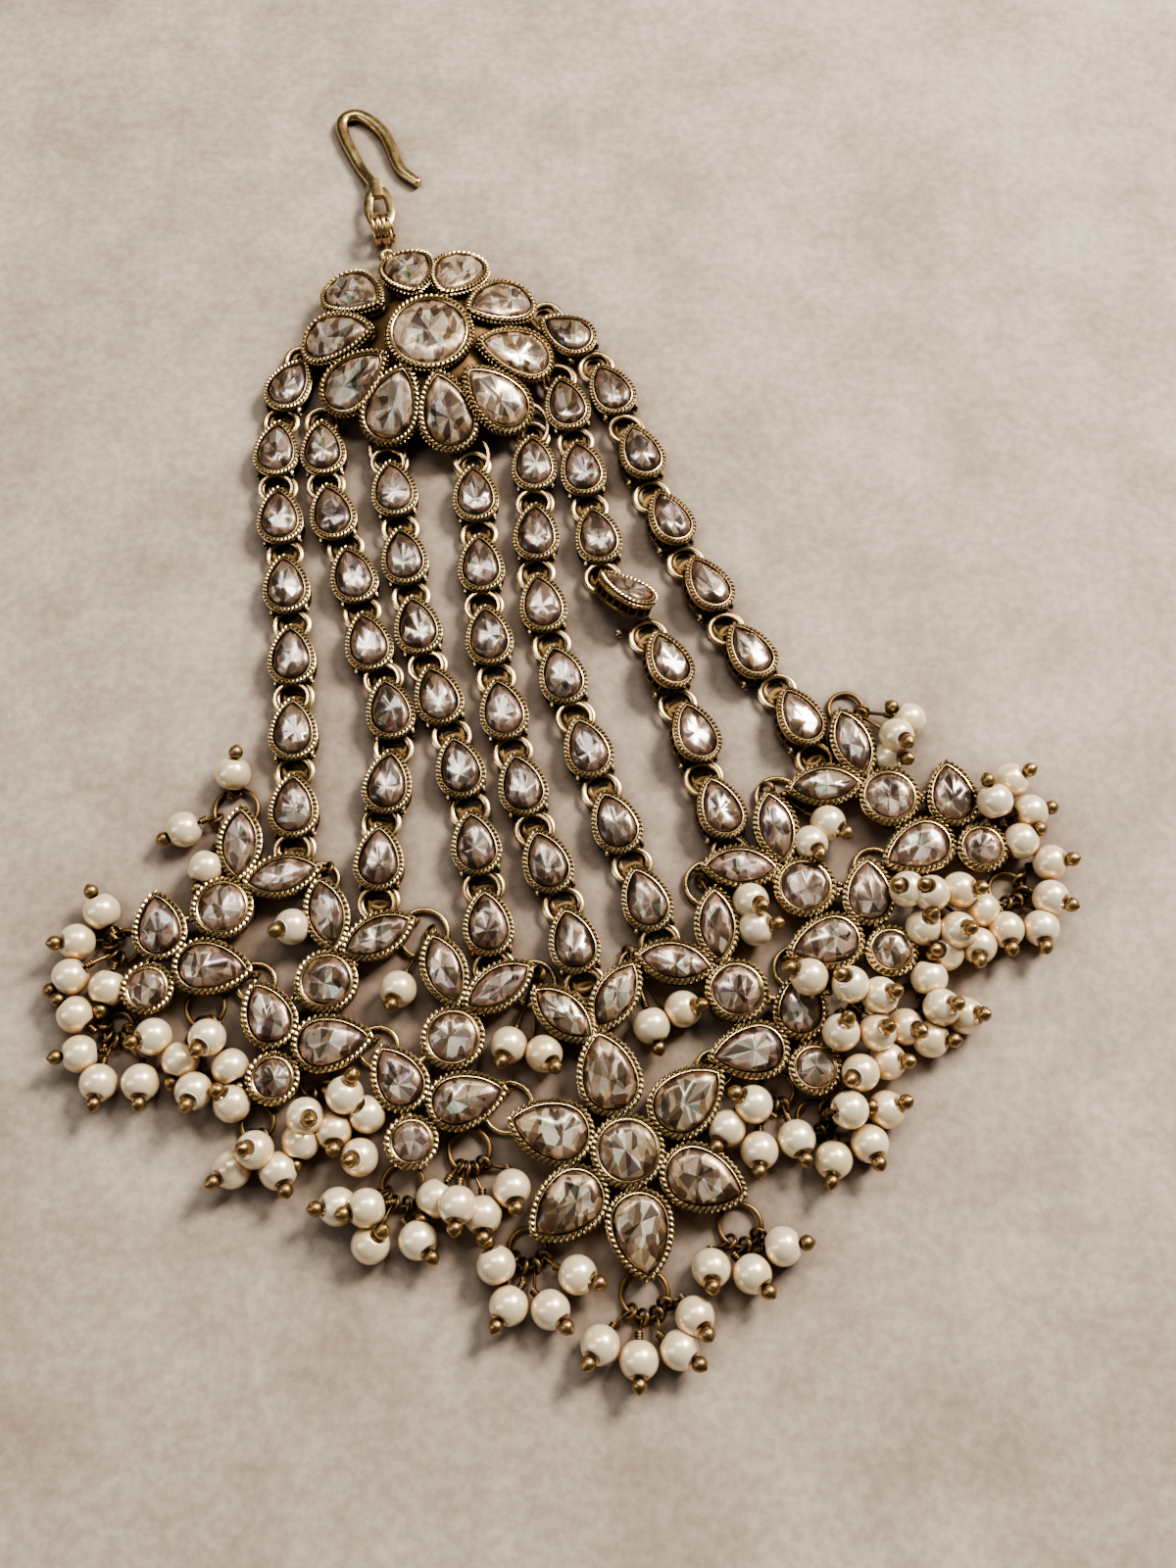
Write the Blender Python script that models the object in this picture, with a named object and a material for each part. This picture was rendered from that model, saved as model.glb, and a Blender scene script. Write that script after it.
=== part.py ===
"""Jhoomar, a side-head ornament: hook, domed flower, seven stone strands, seven motifs and pearl drops.

It lies flat: +Z is up, +Y runs from the pearls to the hook, and z = 0 is the surface that it lies on.
Tables are in millimetres and degrees. Meshes are made in millimetres and scaled to metres at the end.
Bearings are counted from +X towards +Y.
"""
import math

import bmesh
import bpy
from mathutils import Matrix, Vector

MM = 0.001
GAP = 0.6

# The outline's middle in the tables' own coordinates, which becomes x = y = 0
MIDDLE = (-0.75, -0.34)

# Cups that hold the stones
RIM = 0.65
TIP_RIM = 1.35
TIP_SHIFT = 0.12
LINK_LENGTH = 7.1
LINK_WIDTH = 5.2
LINK_DEPTH = 2.3
STONE_RISE = 0.5
TABLE_SHARE = 0.55
MOTIF_FLOOR = 1.15
MOTIF_DEPTH = 1.9
SEAT_DEPTH = 1.5
PEAR_POINTS = 8
ROUND_POINTS = 10
SMOOTH_BELOW = 50.0

# Wire
RING_WIRE = 0.3
RING_SIDES = 10
WIRE_SIDES = 5
RING_HEIGHT = 0.36
PEGS_IN_RING = 1.0
CORE_BAR = 0.5
CORE_HEIGHT = 0.45
PIN_WIRE = 0.24
PIN_NECK = 0.15
PEG_SIZE = 0.42
PEG_SETBACK = 0.6
PEG_FOOT = 0.05

# Solder bars between cups. A side motif's bar spans the middle of the way between two cups' centres
BAR_WIDTH = 1.2
BAR_DEPTH = 0.9
BAR_LIFT = 0.3
BAR_ENDS = (0.25, 0.75)
BAR_SETBACK = 1.4

# Pearls
PEARL = 3.7
PEARL_SIDES = 10
PEARL_SHOULDER = 0.42

# Crown flower
CROWN = (-16.4, 36.5)
CROWN_PETALS = 10
CROWN_FIRST_PETAL = 106.0
CROWN_PETAL_REACH = 10.0
CROWN_PETAL_LENGTH = 9.2
CROWN_PETAL_WIDTH = 6.4
CROWN_PETAL_TILT = 22.0
CROWN_PETAL_TOP = 4.6
CROWN_PETAL_DEPTH = 1.8
CROWN_STONE = 10.0
CROWN_TOP = 6.4
CROWN_CUP_DEPTH = 2.4
HUB_BASE = 4.2
HUB_SHOULDER = 7.0
HUB_SHOULDER_HEIGHT = 4.4
HUB_TOP = 4.6
HUB_TOP_HEIGHT = 4.5
HUB_TURN = 9.0

# Hook
HOOK_ROUTE = [(-24.0, 60.5), (-25.9, 63.7), (-27.2, 66.2), (-28.4, 68.8), (-28.9, 70.8), (-28.3, 72.0),
              (-26.9, 72.3), (-25.2, 71.3), (-23.7, 69.6), (-22.7, 67.6), (-21.9, 65.3), (-21.1, 63.8),
              (-19.9, 62.7), (-19.0, 62.0)]
HOOK_WIRE = 0.62
HOOK_SIDES = 6
HOOK_HEIGHT = 0.7
EYE_WIRE = 0.34
EYE_BEARING = -81.0
EYE_LENGTH = 5.9
EYE_WIDTH = 2.7
EYE_HEIGHT = 1.7
HOOK_LINK = 1.8
HOOK_LINK_WIRE = 0.22
HOOK_LINK_SPREAD = 0.38
HOOK_LINK_HEIGHT = 2.08
EYE_IN_LINK = 0.5
LUG_IN_LINK = 0.6
LUG_BEARING = -61.0
LUG_HALF_WIDTH = 1.5
LUG_LENGTH = 5.4
LUG_HEIGHT = 1.7

# Each strand's route: under the crown, link centres from the first to the last, then under its motif
STRANDS = {
    1: [(-30.0, 37.4), (-33.0, 32.2), (-33.6, 24.0), (-32.7, 15.8), (-30.3, -1.0), (-29.0, -18.0),
        (-28.6, -24.0)],
    2: [(-27.8, 29.4), (-27.7, 24.1), (-24.0, 7.7), (-21.8, -0.8), (-19.2, -9.2), (-19.9, -23.6),
        (-19.0, -30.2)],
    3: [(-20.8, 23.8), (-20.0, 19.0), (-16.5, 2.0), (-11.7, -14.6), (-8.6, -30.4), (-8.4, -36.0)],
    4: [(-11.9, 24.0), (-10.9, 18.3), (-8.7, 0.9), (-5.3, -16.0), (0.0, -32.2), (1.0, -38.4)],
    5: [(-5.8, 28.2), (-4.6, 22.5), (-3.5, 5.3), (1.6, -12.2), (7.3, -27.9), (9.0, -33.4)],
    6: [(-3.4, 35.4), (-1.0, 30.2), (2.6, 13.0), (4.6, 6.1), (9.3, -1.8), (14.8, -18.4), (16.4, -23.6)],
    7: [(-4.4, 41.6), (-0.9, 39.6), (4.2, 31.8), (10.2, 14.9), (18.4, -0.8), (23.4, -8.4), (25.2, -14.2)],
}
LINKS = 7

# Roll of single links about their strand, in degrees: (strand, link)
ROLLS = {(6, 4): 40.0}

# Side motif: one casting, laid out about its medium round, and mirrored on the right
SIDE_CUPS = [
    dict(kind="round", x=0.0, y=0.0, bearing=0.0, length=6.3, width=6.3),
    dict(kind="marquise", x=-0.35, y=6.85, bearing=105.0, length=8.2, width=4.6),
    dict(kind="marquise", x=4.85, y=4.65, bearing=28.0, length=8.2, width=4.6),
    dict(kind="pear", x=-5.6, y=-3.2, bearing=116.0, length=7.2, width=5.4),
    dict(kind="pear", x=0.95, y=-6.0, bearing=9.0, length=8.0, width=5.7),
    dict(kind="round", x=-4.65, y=-9.55, bearing=0.0, length=5.2, width=5.2),
]
SIDE_BARS = [(0, 3), (0, 4), (4, 5)]
SIDE_MOTIFS = {
    "left_1": dict(x=-35.3, y=-29.1, turn=-13.5, mirror=False),
    "left_2": dict(x=-24.4, y=-36.6, turn=0.0, mirror=False),
    "left_3": dict(x=-11.7, y=-42.2, turn=5.8, mirror=False),
    "right_3": dict(x=16.2, y=-37.5, turn=18.1, mirror=True),
    "right_2": dict(x=23.4, y=-26.9, turn=25.7, mirror=True),
    "right_1": dict(x=32.6, y=-17.3, turn=33.1, mirror=True),
}
ROW = ["left_1", "left_2", "left_3", "centre", "right_3", "right_2", "right_1"]

# Cup numbers whose tips meet at a joint: of the outer motif (upper, lower), then of its inner neighbour
# (upper and lower on the left side, upper and lower on the right side)
JOINT_CUPS = {"side": ((2, 4), (1, 3, 1, 3)), "centre": ((2, 4), (6, 5, 7, 1))}

# Centre motif
CENTRE = (5.3, -53.0)
CENTRE_ROUND = 6.7
CENTRE_PETAL_LENGTH = 9.2
CENTRE_PETAL_WIDTH = 6.4
CENTRE_PETAL_REACH = 7.5
CENTRE_PETAL_BEARINGS = [104.0, 40.0, -20.0, -81.0, -139.0, 165.0]
CENTRE_MARQUISES = [
    dict(kind="marquise", x=-6.2, y=13.2, bearing=140.0, length=8.2, width=4.6),
    dict(kind="marquise", x=-1.1, y=15.0, bearing=60.0, length=8.2, width=4.6),
]

# Pearl drops: each ring's centre and radius, then bearing and reach of each pearl from it
CLUSTERS = {
    "top_left": [dict(x=-35.2, y=-18.1, radius=2.3, drops=[(95, 3.8), (-153, 5.6)])],
    "left_1": [
        dict(x=-45.3, y=-32.5, radius=1.6, drops=[(126, 4.2), (180, 4.9), (-143, 6.5), (-107, 4.9)]),
        dict(x=-45.4, y=-40.8, radius=1.5, drops=[(165, 4.4), (-140, 4.3), (-99, 5.8), (-61, 6.2)]),
    ],
    "left_inner": [dict(x=-36.7, y=-39.2, radius=1.9, drops=[(-62, 6.6), (-107, 5.5), (-91, 8.9)])],
    "left_2": [
        dict(x=-30.7, y=-50.3, radius=1.6, drops=[(-112, 4.9), (-64, 5.5)]),
        dict(x=-25.2, y=-46.6, radius=1.6, drops=[(-106, 5.9), (-66, 4.4), (-34, 6.6)]),
    ],
    "left_3": [
        dict(x=-16.3, y=-56.0, radius=2.0, drops=[(-161, 6.3), (-116, 6.1), (-69, 5.2)]),
        dict(x=-10.0, y=-53.0, radius=2.0, drops=[(-123, 5.8), (-77, 6.3), (-40, 5.6)]),
    ],
    "centre_left": [dict(x=-4.2, y=-61.8, radius=1.8, drops=[(-108, 5.4), (-68, 5.9), (-27, 5.3)])],
    "centre_bottom": [
        dict(x=6.8, y=-65.9, radius=2.2, drops=[(-133, 6.1), (-96, 5.8), (-59, 6.0), (-20, 5.0)]),
    ],
    "centre_right": [dict(x=16.3, y=-59.2, radius=2.0, drops=[(-127, 5.4), (-82, 4.9), (-33, 4.3)])],
    "right_3": [
        dict(x=20.0, y=-47.2, radius=1.7, drops=[(-142, 6.3), (-106, 6.1), (-68, 5.2)]),
        dict(x=23.5, y=-49.7, radius=1.6, drops=[(-71, 4.2), (-28, 5.7), (6, 6.9)]),
    ],
    "right_2": [
        dict(x=26.6, y=-37.6, radius=1.9, drops=[(-87, 4.1), (-42, 6.1)]),
        dict(x=33.3, y=-37.8, radius=1.7, drops=[(-75, 4.5), (-21, 5.9)]),
    ],
    "right_1": [
        dict(x=36.2, y=-26.6, radius=1.6, drops=[(-98, 4.2), (-55, 5.8)]),
        dict(x=44.3, y=-26.6, radius=1.7, drops=[(-108, 4.8), (-60, 5.4), (-16, 4.4), (29, 5.4)]),
        dict(x=43.4, y=-19.6, radius=1.4, drops=[(-40, 3.9), (17, 4.1), (66, 4.9)]),
    ],
    "top_right": [dict(x=28.8, y=-7.0, radius=1.8, drops=[(-35, 6.0), (-4, 5.6)])],
}

MATERIALS = {
    "antique_gold": dict(color=(0.60, 0.45, 0.24, 1.0), roughness=0.35, metallic=1.0),
    "champagne_stone": dict(color=(0.80, 0.68, 0.62, 1.0), roughness=0.08, metallic=0.0),
    "pearl": dict(color=(0.90, 0.84, 0.70, 1.0), roughness=0.25, metallic=0.0),
}


def clear_scene():
    for obj in list(bpy.data.objects):
        bpy.data.objects.remove(obj, do_unlink=True)


def material(name, kind):
    values = MATERIALS[kind]
    made = bpy.data.materials.new(name)
    made.use_nodes = True
    shader = made.node_tree.nodes["Principled BSDF"]
    shader.inputs["Base Color"].default_value = values["color"]
    shader.inputs["Roughness"].default_value = values["roughness"]
    shader.inputs["Metallic"].default_value = values["metallic"]
    made.diffuse_color = values["color"]
    return made


def circle_scale(sides):
    """Corner radius that gives a polygon the mean radius of its circle."""
    return 2.0 / (1.0 + math.cos(math.pi / sides))


def round_outline(length, width, points=ROUND_POINTS):
    radius = length / 2 * circle_scale(points)
    turns = [2 * math.pi * i / points for i in range(points)]
    return [(radius * math.cos(t), radius * math.sin(t)) for t in turns]


def pear_outline(length, width, points=PEAR_POINTS):
    """Tip at +X: two straight flanks that run onto a round end."""
    radius = width / 2
    middle = radius - length / 2
    tangent = math.acos(radius / (length - radius))
    step = 2 * (math.pi - tangent) / (points - 2)
    swell = circle_scale(points)
    outline = [(length / 2, 0.0)]
    for i in range(points - 1):
        turn = tangent + i * step
        outline.append((middle + radius * swell * math.cos(turn), radius * swell * math.sin(turn)))
    return outline


def marquise_outline(length, width, points=PEAR_POINTS):
    """Two arcs that meet in tips at +X and -X."""
    half, rise = length / 2, width / 2
    radius = (half * half + rise * rise) / (2 * rise)
    spread = math.asin(half / radius)
    per_side = points // 2
    outline = []
    for side in (1, -1):
        for i in range(per_side):
            turn = spread * (1 - 2 * i / per_side)
            outline.append((side * radius * math.sin(turn), side * (radius * math.cos(turn) - radius + rise)))
    return outline


OUTLINES = {"round": round_outline, "pear": pear_outline, "marquise": marquise_outline}


def inset(outline, width):
    """Scale an outline inwards so that its sides move in by about the width, and pointed tips by more."""
    length = max(x for x, y in outline)
    breadth = max(y for x, y in outline)
    pointed = length > breadth * 1.05
    across = 1 - width / breadth
    lengthways = 1 - width / length * (TIP_RIM if pointed else 1.0)
    shift = -TIP_SHIFT * width if pointed else 0.0
    return [(x * lengthways + shift, y * across) for x, y in outline]


def add_loop(shape, outline, z):
    return [shape.verts.new((x, y, z)) for x, y in outline]


def bridge(shape, lower, upper):
    count = len(lower)
    for i in range(count):
        j = (i + 1) % count
        shape.faces.new((lower[i], lower[j], upper[j], upper[i]))


def cut_crown(shape, girdle, table):
    """Facets of a cut stone: the table has a corner over every second corner of the girdle."""
    count = len(girdle)
    half = len(table)
    for i in range(half):
        a, b, c = girdle[2 * i], girdle[2 * i + 1], girdle[(2 * i + 2) % count]
        here, after = table[i], table[(i + 1) % half]
        shape.faces.new((a, b, here))
        shape.faces.new((b, after, here))
        shape.faces.new((b, c, after))
    shape.faces.new(table)


def finished(shape):
    bmesh.ops.recalc_face_normals(shape, faces=shape.faces)
    mesh = bpy.data.meshes.new("shape")
    shape.to_mesh(mesh)
    shape.free()
    return mesh


def cup_floor(shape, floor, has_peg, length):
    """Underside of a cup. A three-sided peg may go down under its tip, through a joining ring."""
    if not has_peg:
        shape.faces.new(list(reversed(floor)))
        return
    middle = length / 2 - PEG_SETBACK
    turns = [0.0, 2 * math.pi / 3, -2 * math.pi / 3]
    corners = [(middle + PEG_SIZE * math.cos(t), PEG_SIZE * math.sin(t)) for t in turns]
    top = [shape.verts.new((x, y, floor[0].co.z)) for x, y in corners]
    foot = [shape.verts.new((x, y, PEG_FOOT - MOTIF_FLOOR)) for x, y in corners]
    bridge(shape, foot, top)
    shape.faces.new(list(reversed(foot)))
    shape.faces.new((floor[0], floor[-1], top[2], top[0]))
    shape.faces.new((floor[0], top[0], top[1], floor[1]))
    shape.faces.new(list(reversed([top[2], top[1]] + floor[1:])))


def stone_cup(kind, length, width, depth, has_peg=False):
    """Cup with its stone in one body: floor at z = 0, rim at z = depth."""
    outline = OUTLINES[kind](length, width)
    shape = bmesh.new()
    floor = add_loop(shape, outline, 0.0)
    rim = add_loop(shape, outline, depth)
    cup_floor(shape, floor, has_peg, length)
    bridge(shape, floor, rim)
    inner = inset(outline, RIM)
    girdle = add_loop(shape, inner, depth)
    bridge(shape, rim, girdle)
    table_outline = [(x * TABLE_SHARE, y * TABLE_SHARE) for x, y in inner[::2]]
    cut_crown(shape, girdle, add_loop(shape, table_outline, depth + STONE_RISE))
    return finished(shape)


def cone(shape, loop, apex):
    count = len(loop)
    for i in range(count):
        shape.faces.new((loop[(i + 1) % count], loop[i], apex))


def open_cup(kind, length, width, depth, points, has_peg=False):
    """Cup with a cone-shaped seat for a stone of its own."""
    outline = OUTLINES[kind](length, width, points)
    shape = bmesh.new()
    floor = add_loop(shape, outline, 0.0)
    rim = add_loop(shape, outline, depth)
    mouth = add_loop(shape, inset(outline, RIM), depth)
    cup_floor(shape, floor, has_peg, length)
    bridge(shape, floor, rim)
    bridge(shape, rim, mouth)
    cone(shape, mouth, shape.verts.new((seat_middle(kind, length, width), 0, depth - SEAT_DEPTH)))
    return finished(shape)


def seat_middle(kind, length, width):
    """A pear's deepest point is halfway from its middle to the centre of its round end."""
    return (width - length) / 4 if kind == "pear" else 0.0


def loose_stone(kind, length, width, depth, points):
    """Stone that sits in an open cup of the same sizes, a gap away from its seat."""
    outline = inset(OUTLINES[kind](length, width, points), RIM + GAP)
    shape = bmesh.new()
    girdle = add_loop(shape, outline, depth)
    table_outline = [(x * TABLE_SHARE, y * TABLE_SHARE) for x, y in outline[::2]]
    table = add_loop(shape, table_outline, depth + STONE_RISE)
    cone(shape, girdle, shape.verts.new((seat_middle(kind, length, width), 0, depth - SEAT_DEPTH + GAP)))
    cut_crown(shape, girdle, table)
    return finished(shape)


def sweep(path, radius, sides, closed=False, flat=1.0):
    """Tube along a path, with its side corners turned so that a flat faces up."""
    points = [Vector(p) for p in path]
    count = len(points)
    shape = bmesh.new()
    loops = []
    for i, point in enumerate(points):
        before = points[i - 1] if i or closed else point
        after = points[(i + 1) % count] if i < count - 1 or closed else point
        forward = (after - before).normalized()
        up = Vector((0, 0, 1)) if abs(forward.z) < 0.95 else Vector((0, 1, 0))
        right = forward.cross(up).normalized()
        up = right.cross(forward)
        loop = []
        for k in range(sides):
            turn = 2 * math.pi * (k + 0.5) / sides
            offset = right * math.cos(turn) * radius + up * math.sin(turn) * radius * flat
            loop.append(shape.verts.new(point + offset))
        loops.append(loop)
    for i in range(count - 1):
        bridge(shape, loops[i], loops[i + 1])
    if closed:
        bridge(shape, loops[-1], loops[0])
    else:
        shape.faces.new(loops[0])
        shape.faces.new(list(reversed(loops[-1])))
    return finished(shape)


def ring(centre, radius, wire=RING_WIRE, across=(1, 0, 0), up=(0, 1, 0)):
    """Round link in the plane of two directions."""
    centre, across, up = Vector(centre), Vector(across), Vector(up)
    turns = [2 * math.pi * i / RING_SIDES for i in range(RING_SIDES)]
    path = [centre + radius * (math.cos(t) * across + math.sin(t) * up) for t in turns]
    return sweep(path, wire, WIRE_SIDES, closed=True)


def add_drop(shape, face, towards, centre):
    """Bead on a square pin: one side of the bead narrows into the pin, which ends on a face of its ring."""
    radius = PEARL / 2
    facing = math.atan2(towards.y, towards.x)
    turns = [facing + 2 * math.pi * (i - 0.5) / PEARL_SIDES for i in range(PEARL_SIDES)]
    circle = [(centre.x + radius * math.cos(t), centre.y + radius * math.sin(t)) for t in turns]
    low = add_loop(shape, circle, centre.z - radius * PEARL_SHOULDER)
    high = add_loop(shape, circle, centre.z + radius * PEARL_SHOULDER)
    bottom = shape.verts.new((centre.x, centre.y, centre.z - radius))
    top = shape.verts.new((centre.x, centre.y, centre.z + radius))
    for i in range(PEARL_SIDES):
        j = (i + 1) % PEARL_SIDES
        shape.faces.new((low[j], low[i], bottom))
        shape.faces.new((high[i], high[j], top))
        if i:
            shape.faces.new((low[i], low[j], high[j], high[i]))
    side = Vector((-math.sin(facing), math.cos(facing), 0)) * PIN_WIRE
    rise = Vector((0, 0, PIN_WIRE))
    neck = centre + Vector((math.cos(facing), math.sin(facing), 0)) * (radius + PIN_NECK)
    corners = (-side - rise, side - rise, side + rise, rise - side)
    throat = [shape.verts.new(neck + corner) for corner in corners]
    bridge(shape, [low[0], low[1], high[1], high[0]], throat)
    bridge(shape, throat, face)


def cluster(spot):
    """Ring with its pearl drops, each pin growing out of the outer face of one ring segment."""
    middle = Vector((spot["x"], spot["y"], RING_HEIGHT))
    shape = bmesh.new()
    loops = []
    for i in range(RING_SIDES):
        turn = 2 * math.pi * i / RING_SIDES
        out = Vector((math.cos(turn), math.sin(turn), 0))
        loop = []
        for k in range(WIRE_SIDES):
            lean = 2 * math.pi * (k + 0.5) / WIRE_SIDES
            reach = spot["radius"] + RING_WIRE * math.cos(lean)
            loop.append(shape.verts.new(middle + out * reach + Vector((0, 0, RING_WIRE * math.sin(lean)))))
        loops.append(loop)
    taken = {}
    for bearing, reach in spot["drops"]:
        segment = math.floor(bearing % 360 / 360 * RING_SIDES)
        while segment in taken:
            segment = (segment + 1) % RING_SIDES
        taken[segment] = (math.radians(bearing), reach)
    for i in range(RING_SIDES):
        here, after = loops[i], loops[(i + 1) % RING_SIDES]
        for k in range(WIRE_SIDES):
            m = (k + 1) % WIRE_SIDES
            face = [here[k], after[k], after[m], here[m]]
            if i in taken and k == WIRE_SIDES - 1:
                turn, reach = taken[i]
                centre = middle + Vector((math.cos(turn), math.sin(turn), 0)) * reach
                centre.z = PEARL / 2
                edge = (here[k].co + after[k].co) / 2
                add_drop(shape, [after[k], here[k], here[m], after[m]], edge - centre, centre)
            else:
                shape.faces.new(face)
    return finished(shape)


def placed(mesh, x, y, z, bearing, roll=0.0, pitch=0.0):
    turn = Matrix.Rotation(math.radians(bearing), 4, "Z")
    lean = Matrix.Rotation(math.radians(pitch), 4, "Y") @ Matrix.Rotation(math.radians(roll), 4, "X")
    mesh.transform(Matrix.Translation((x, y, z)) @ turn @ lean)
    return mesh


def add_object(name, mesh, kind):
    mesh.name = name
    obj = bpy.data.objects.new(name, mesh)
    bpy.context.scene.collection.objects.link(obj)
    mesh.materials.clear()
    mesh.materials.append(material(name, kind))
    if kind != "champagne_stone":
        mesh.shade_smooth()
        mesh.set_sharp_from_angle(angle=math.radians(SMOOTH_BELOW))


def joined(meshes):
    shape = bmesh.new()
    for mesh in meshes:
        shape.from_mesh(mesh)
    for mesh in meshes:
        bpy.data.meshes.remove(mesh)
    mesh = bpy.data.meshes.new("joined")
    shape.to_mesh(mesh)
    shape.free()
    return mesh


def fused(meshes):
    """Boolean union of closed shapes into one closed body."""
    if len(meshes) == 1:
        return meshes[0]
    base = bpy.data.objects.new("base", meshes[0])
    rest = bpy.data.objects.new("rest", joined(meshes[1:]))
    for obj in (base, rest):
        bpy.context.scene.collection.objects.link(obj)
    union = base.modifiers.new("union", "BOOLEAN")
    union.operation = "UNION"
    union.solver = "EXACT"
    union.use_self = True
    union.object = rest
    bpy.context.view_layer.update()
    seen = base.evaluated_get(bpy.context.evaluated_depsgraph_get())
    result = bpy.data.meshes.new_from_object(seen)
    for obj in (base, rest):
        bpy.data.objects.remove(obj, do_unlink=True)
    return result


def node(name, meshes, kind):
    add_object(name, fused(meshes), kind)


def curve_point(controls, i, t):
    """Catmull-Rom curve through the control points, from control i to the next at t from 0 to 1."""
    a = Vector(controls[max(i - 1, 0)])
    b = Vector(controls[i])
    c = Vector(controls[i + 1])
    d = Vector(controls[min(i + 2, len(controls) - 1)])
    return 0.5 * (2 * b + (c - a) * t + (2 * a - 5 * b + 4 * c - d) * t ** 2
                  + (3 * b - a - 3 * c + d) * t ** 3)


def strand_route(controls, steps=12):
    """Fine points of a strand's route, and how far along it each control point is."""
    points = [Vector(controls[0])]
    marks = [0.0]
    length = 0.0
    for i in range(len(controls) - 1):
        for k in range(1, steps + 1):
            point = curve_point(controls, i, k / steps)
            length += (point - points[-1]).length
            points.append(point)
        marks.append(length)
    return points, marks


def along(points, distance):
    """Point and direction at a distance along fine points."""
    walked = 0.0
    for a, b in zip(points, points[1:]):
        step = (b - a).length
        if walked + step >= distance:
            share = (distance - walked) / step
            return a.lerp(b, share), (b - a).normalized()
        walked += step
    return points[-1], (points[-1] - points[-2]).normalized()


def strand_links(number):
    """Centre and direction of each link of a strand."""
    points, marks = strand_route(STRANDS[number])
    first, last = marks[1], marks[-2]
    places = []
    for i in range(LINKS):
        places.append(along(points, first + (last - first) * i / (LINKS - 1)))
    return places, points


def build_strand(number):
    places, points = strand_links(number)
    meshes = []
    core = [points[0]] + [place for place, direction in places] + [points[-1]]
    rolls = [0.0] + [ROLLS.get((number, i + 1), 0.0) for i in range(LINKS)] + [0.0]
    lifts = [LINK_WIDTH / 2 * math.sin(math.radians(roll)) for roll in rolls]
    path = [(p.x, p.y, CORE_HEIGHT + lift) for p, lift in zip(core, lifts)]
    meshes.append(sweep(path, CORE_BAR, 4))
    for i, (place, direction) in enumerate(places):
        towards_crown = math.degrees(math.atan2(-direction.y, -direction.x))
        cup = stone_cup("pear", LINK_LENGTH, LINK_WIDTH, LINK_DEPTH)
        placed(cup, place.x, place.y, 0.0, towards_crown, roll=ROLLS.get((number, i + 1), 0.0))
        lowest = min(vertex.co.z for vertex in cup.vertices)
        cup.transform(Matrix.Translation((0, 0, -lowest)))
        meshes.append(cup)
    node(f"strand_{number}", meshes, "antique_gold")


def motif_frame(name):
    """Matrix from a side motif's own layout to the part."""
    spot = SIDE_MOTIFS[name]
    turn = Matrix.Rotation(math.radians(spot["turn"]), 4, "Z")
    mirror = Matrix.Scale(-1, 4, (1, 0, 0)) if spot["mirror"] else Matrix.Identity(4)
    return Matrix.Translation((spot["x"], spot["y"], 0)) @ turn @ mirror


def motif_cups(name):
    """Cups of a motif in the part's frame, with x, y and bearing worked out."""
    if name == "centre":
        cups = []
        for bearing in CENTRE_PETAL_BEARINGS:
            turn = math.radians(bearing)
            cups.append(dict(kind="pear", x=CENTRE[0] + CENTRE_PETAL_REACH * math.cos(turn),
                             y=CENTRE[1] + CENTRE_PETAL_REACH * math.sin(turn), bearing=bearing,
                             length=CENTRE_PETAL_LENGTH, width=CENTRE_PETAL_WIDTH))
        for cup in CENTRE_MARQUISES:
            cups.append(dict(cup, x=CENTRE[0] + cup["x"], y=CENTRE[1] + cup["y"]))
        return cups
    frame = motif_frame(name)
    cups = []
    for cup in SIDE_CUPS:
        place = frame @ Vector((cup["x"], cup["y"], 0))
        turn = math.radians(cup["bearing"])
        axis = frame.to_3x3() @ Vector((math.cos(turn), math.sin(turn), 0))
        cups.append(dict(cup, x=place.x, y=place.y, bearing=math.degrees(math.atan2(axis.y, axis.x))))
    return cups


def tip(cup, back=0.0, end=1):
    """Point near a cup's tip, set back along its axis. End -1 is a marquise's other tip."""
    turn = math.radians(cup["bearing"])
    reach = end * (cup["length"] / 2 - back)
    return Vector((cup["x"] + reach * math.cos(turn), cup["y"] + reach * math.sin(turn)))


def solder_bar(a, b):
    """Short flat bar at the back that joins two cups."""
    middle = (a + b) / 2
    across = b - a
    shape = bmesh.new()
    bmesh.ops.create_cube(shape, size=1.0)
    scale = Matrix.Diagonal((across.length, BAR_WIDTH, BAR_DEPTH, 1.0))
    turn = Matrix.Rotation(math.atan2(across.y, across.x), 4, "Z")
    height = MOTIF_FLOOR + BAR_LIFT + BAR_DEPTH / 2
    place = Matrix.Translation((middle.x, middle.y, height)) @ turn @ scale
    bmesh.ops.transform(shape, matrix=place, verts=shape.verts)
    return finished(shape)


def joints():
    """Each joining ring's name with the two cups whose tips it holds: (motif, cup number)."""
    found = []
    for i, (left, right) in enumerate(zip(ROW, ROW[1:])):
        inner, outer = JOINT_CUPS["centre" if "centre" in (left, right) else "side"]
        if i < len(ROW) // 2:
            pairs = [((left, inner[0]), (right, outer[0])), ((left, inner[1]), (right, outer[1]))]
        else:
            pairs = [((right, inner[0]), (left, outer[2])), ((right, inner[1]), (left, outer[3]))]
        for kind, pair in zip(("upper", "lower"), pairs):
            found.append((f"{kind}_ring_{i + 1}", pair))
    return found


def carries_peg(motif, number):
    """Whether a joining ring holds this cup's tip."""
    return any((motif, number) in pair for name, pair in joints())


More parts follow.
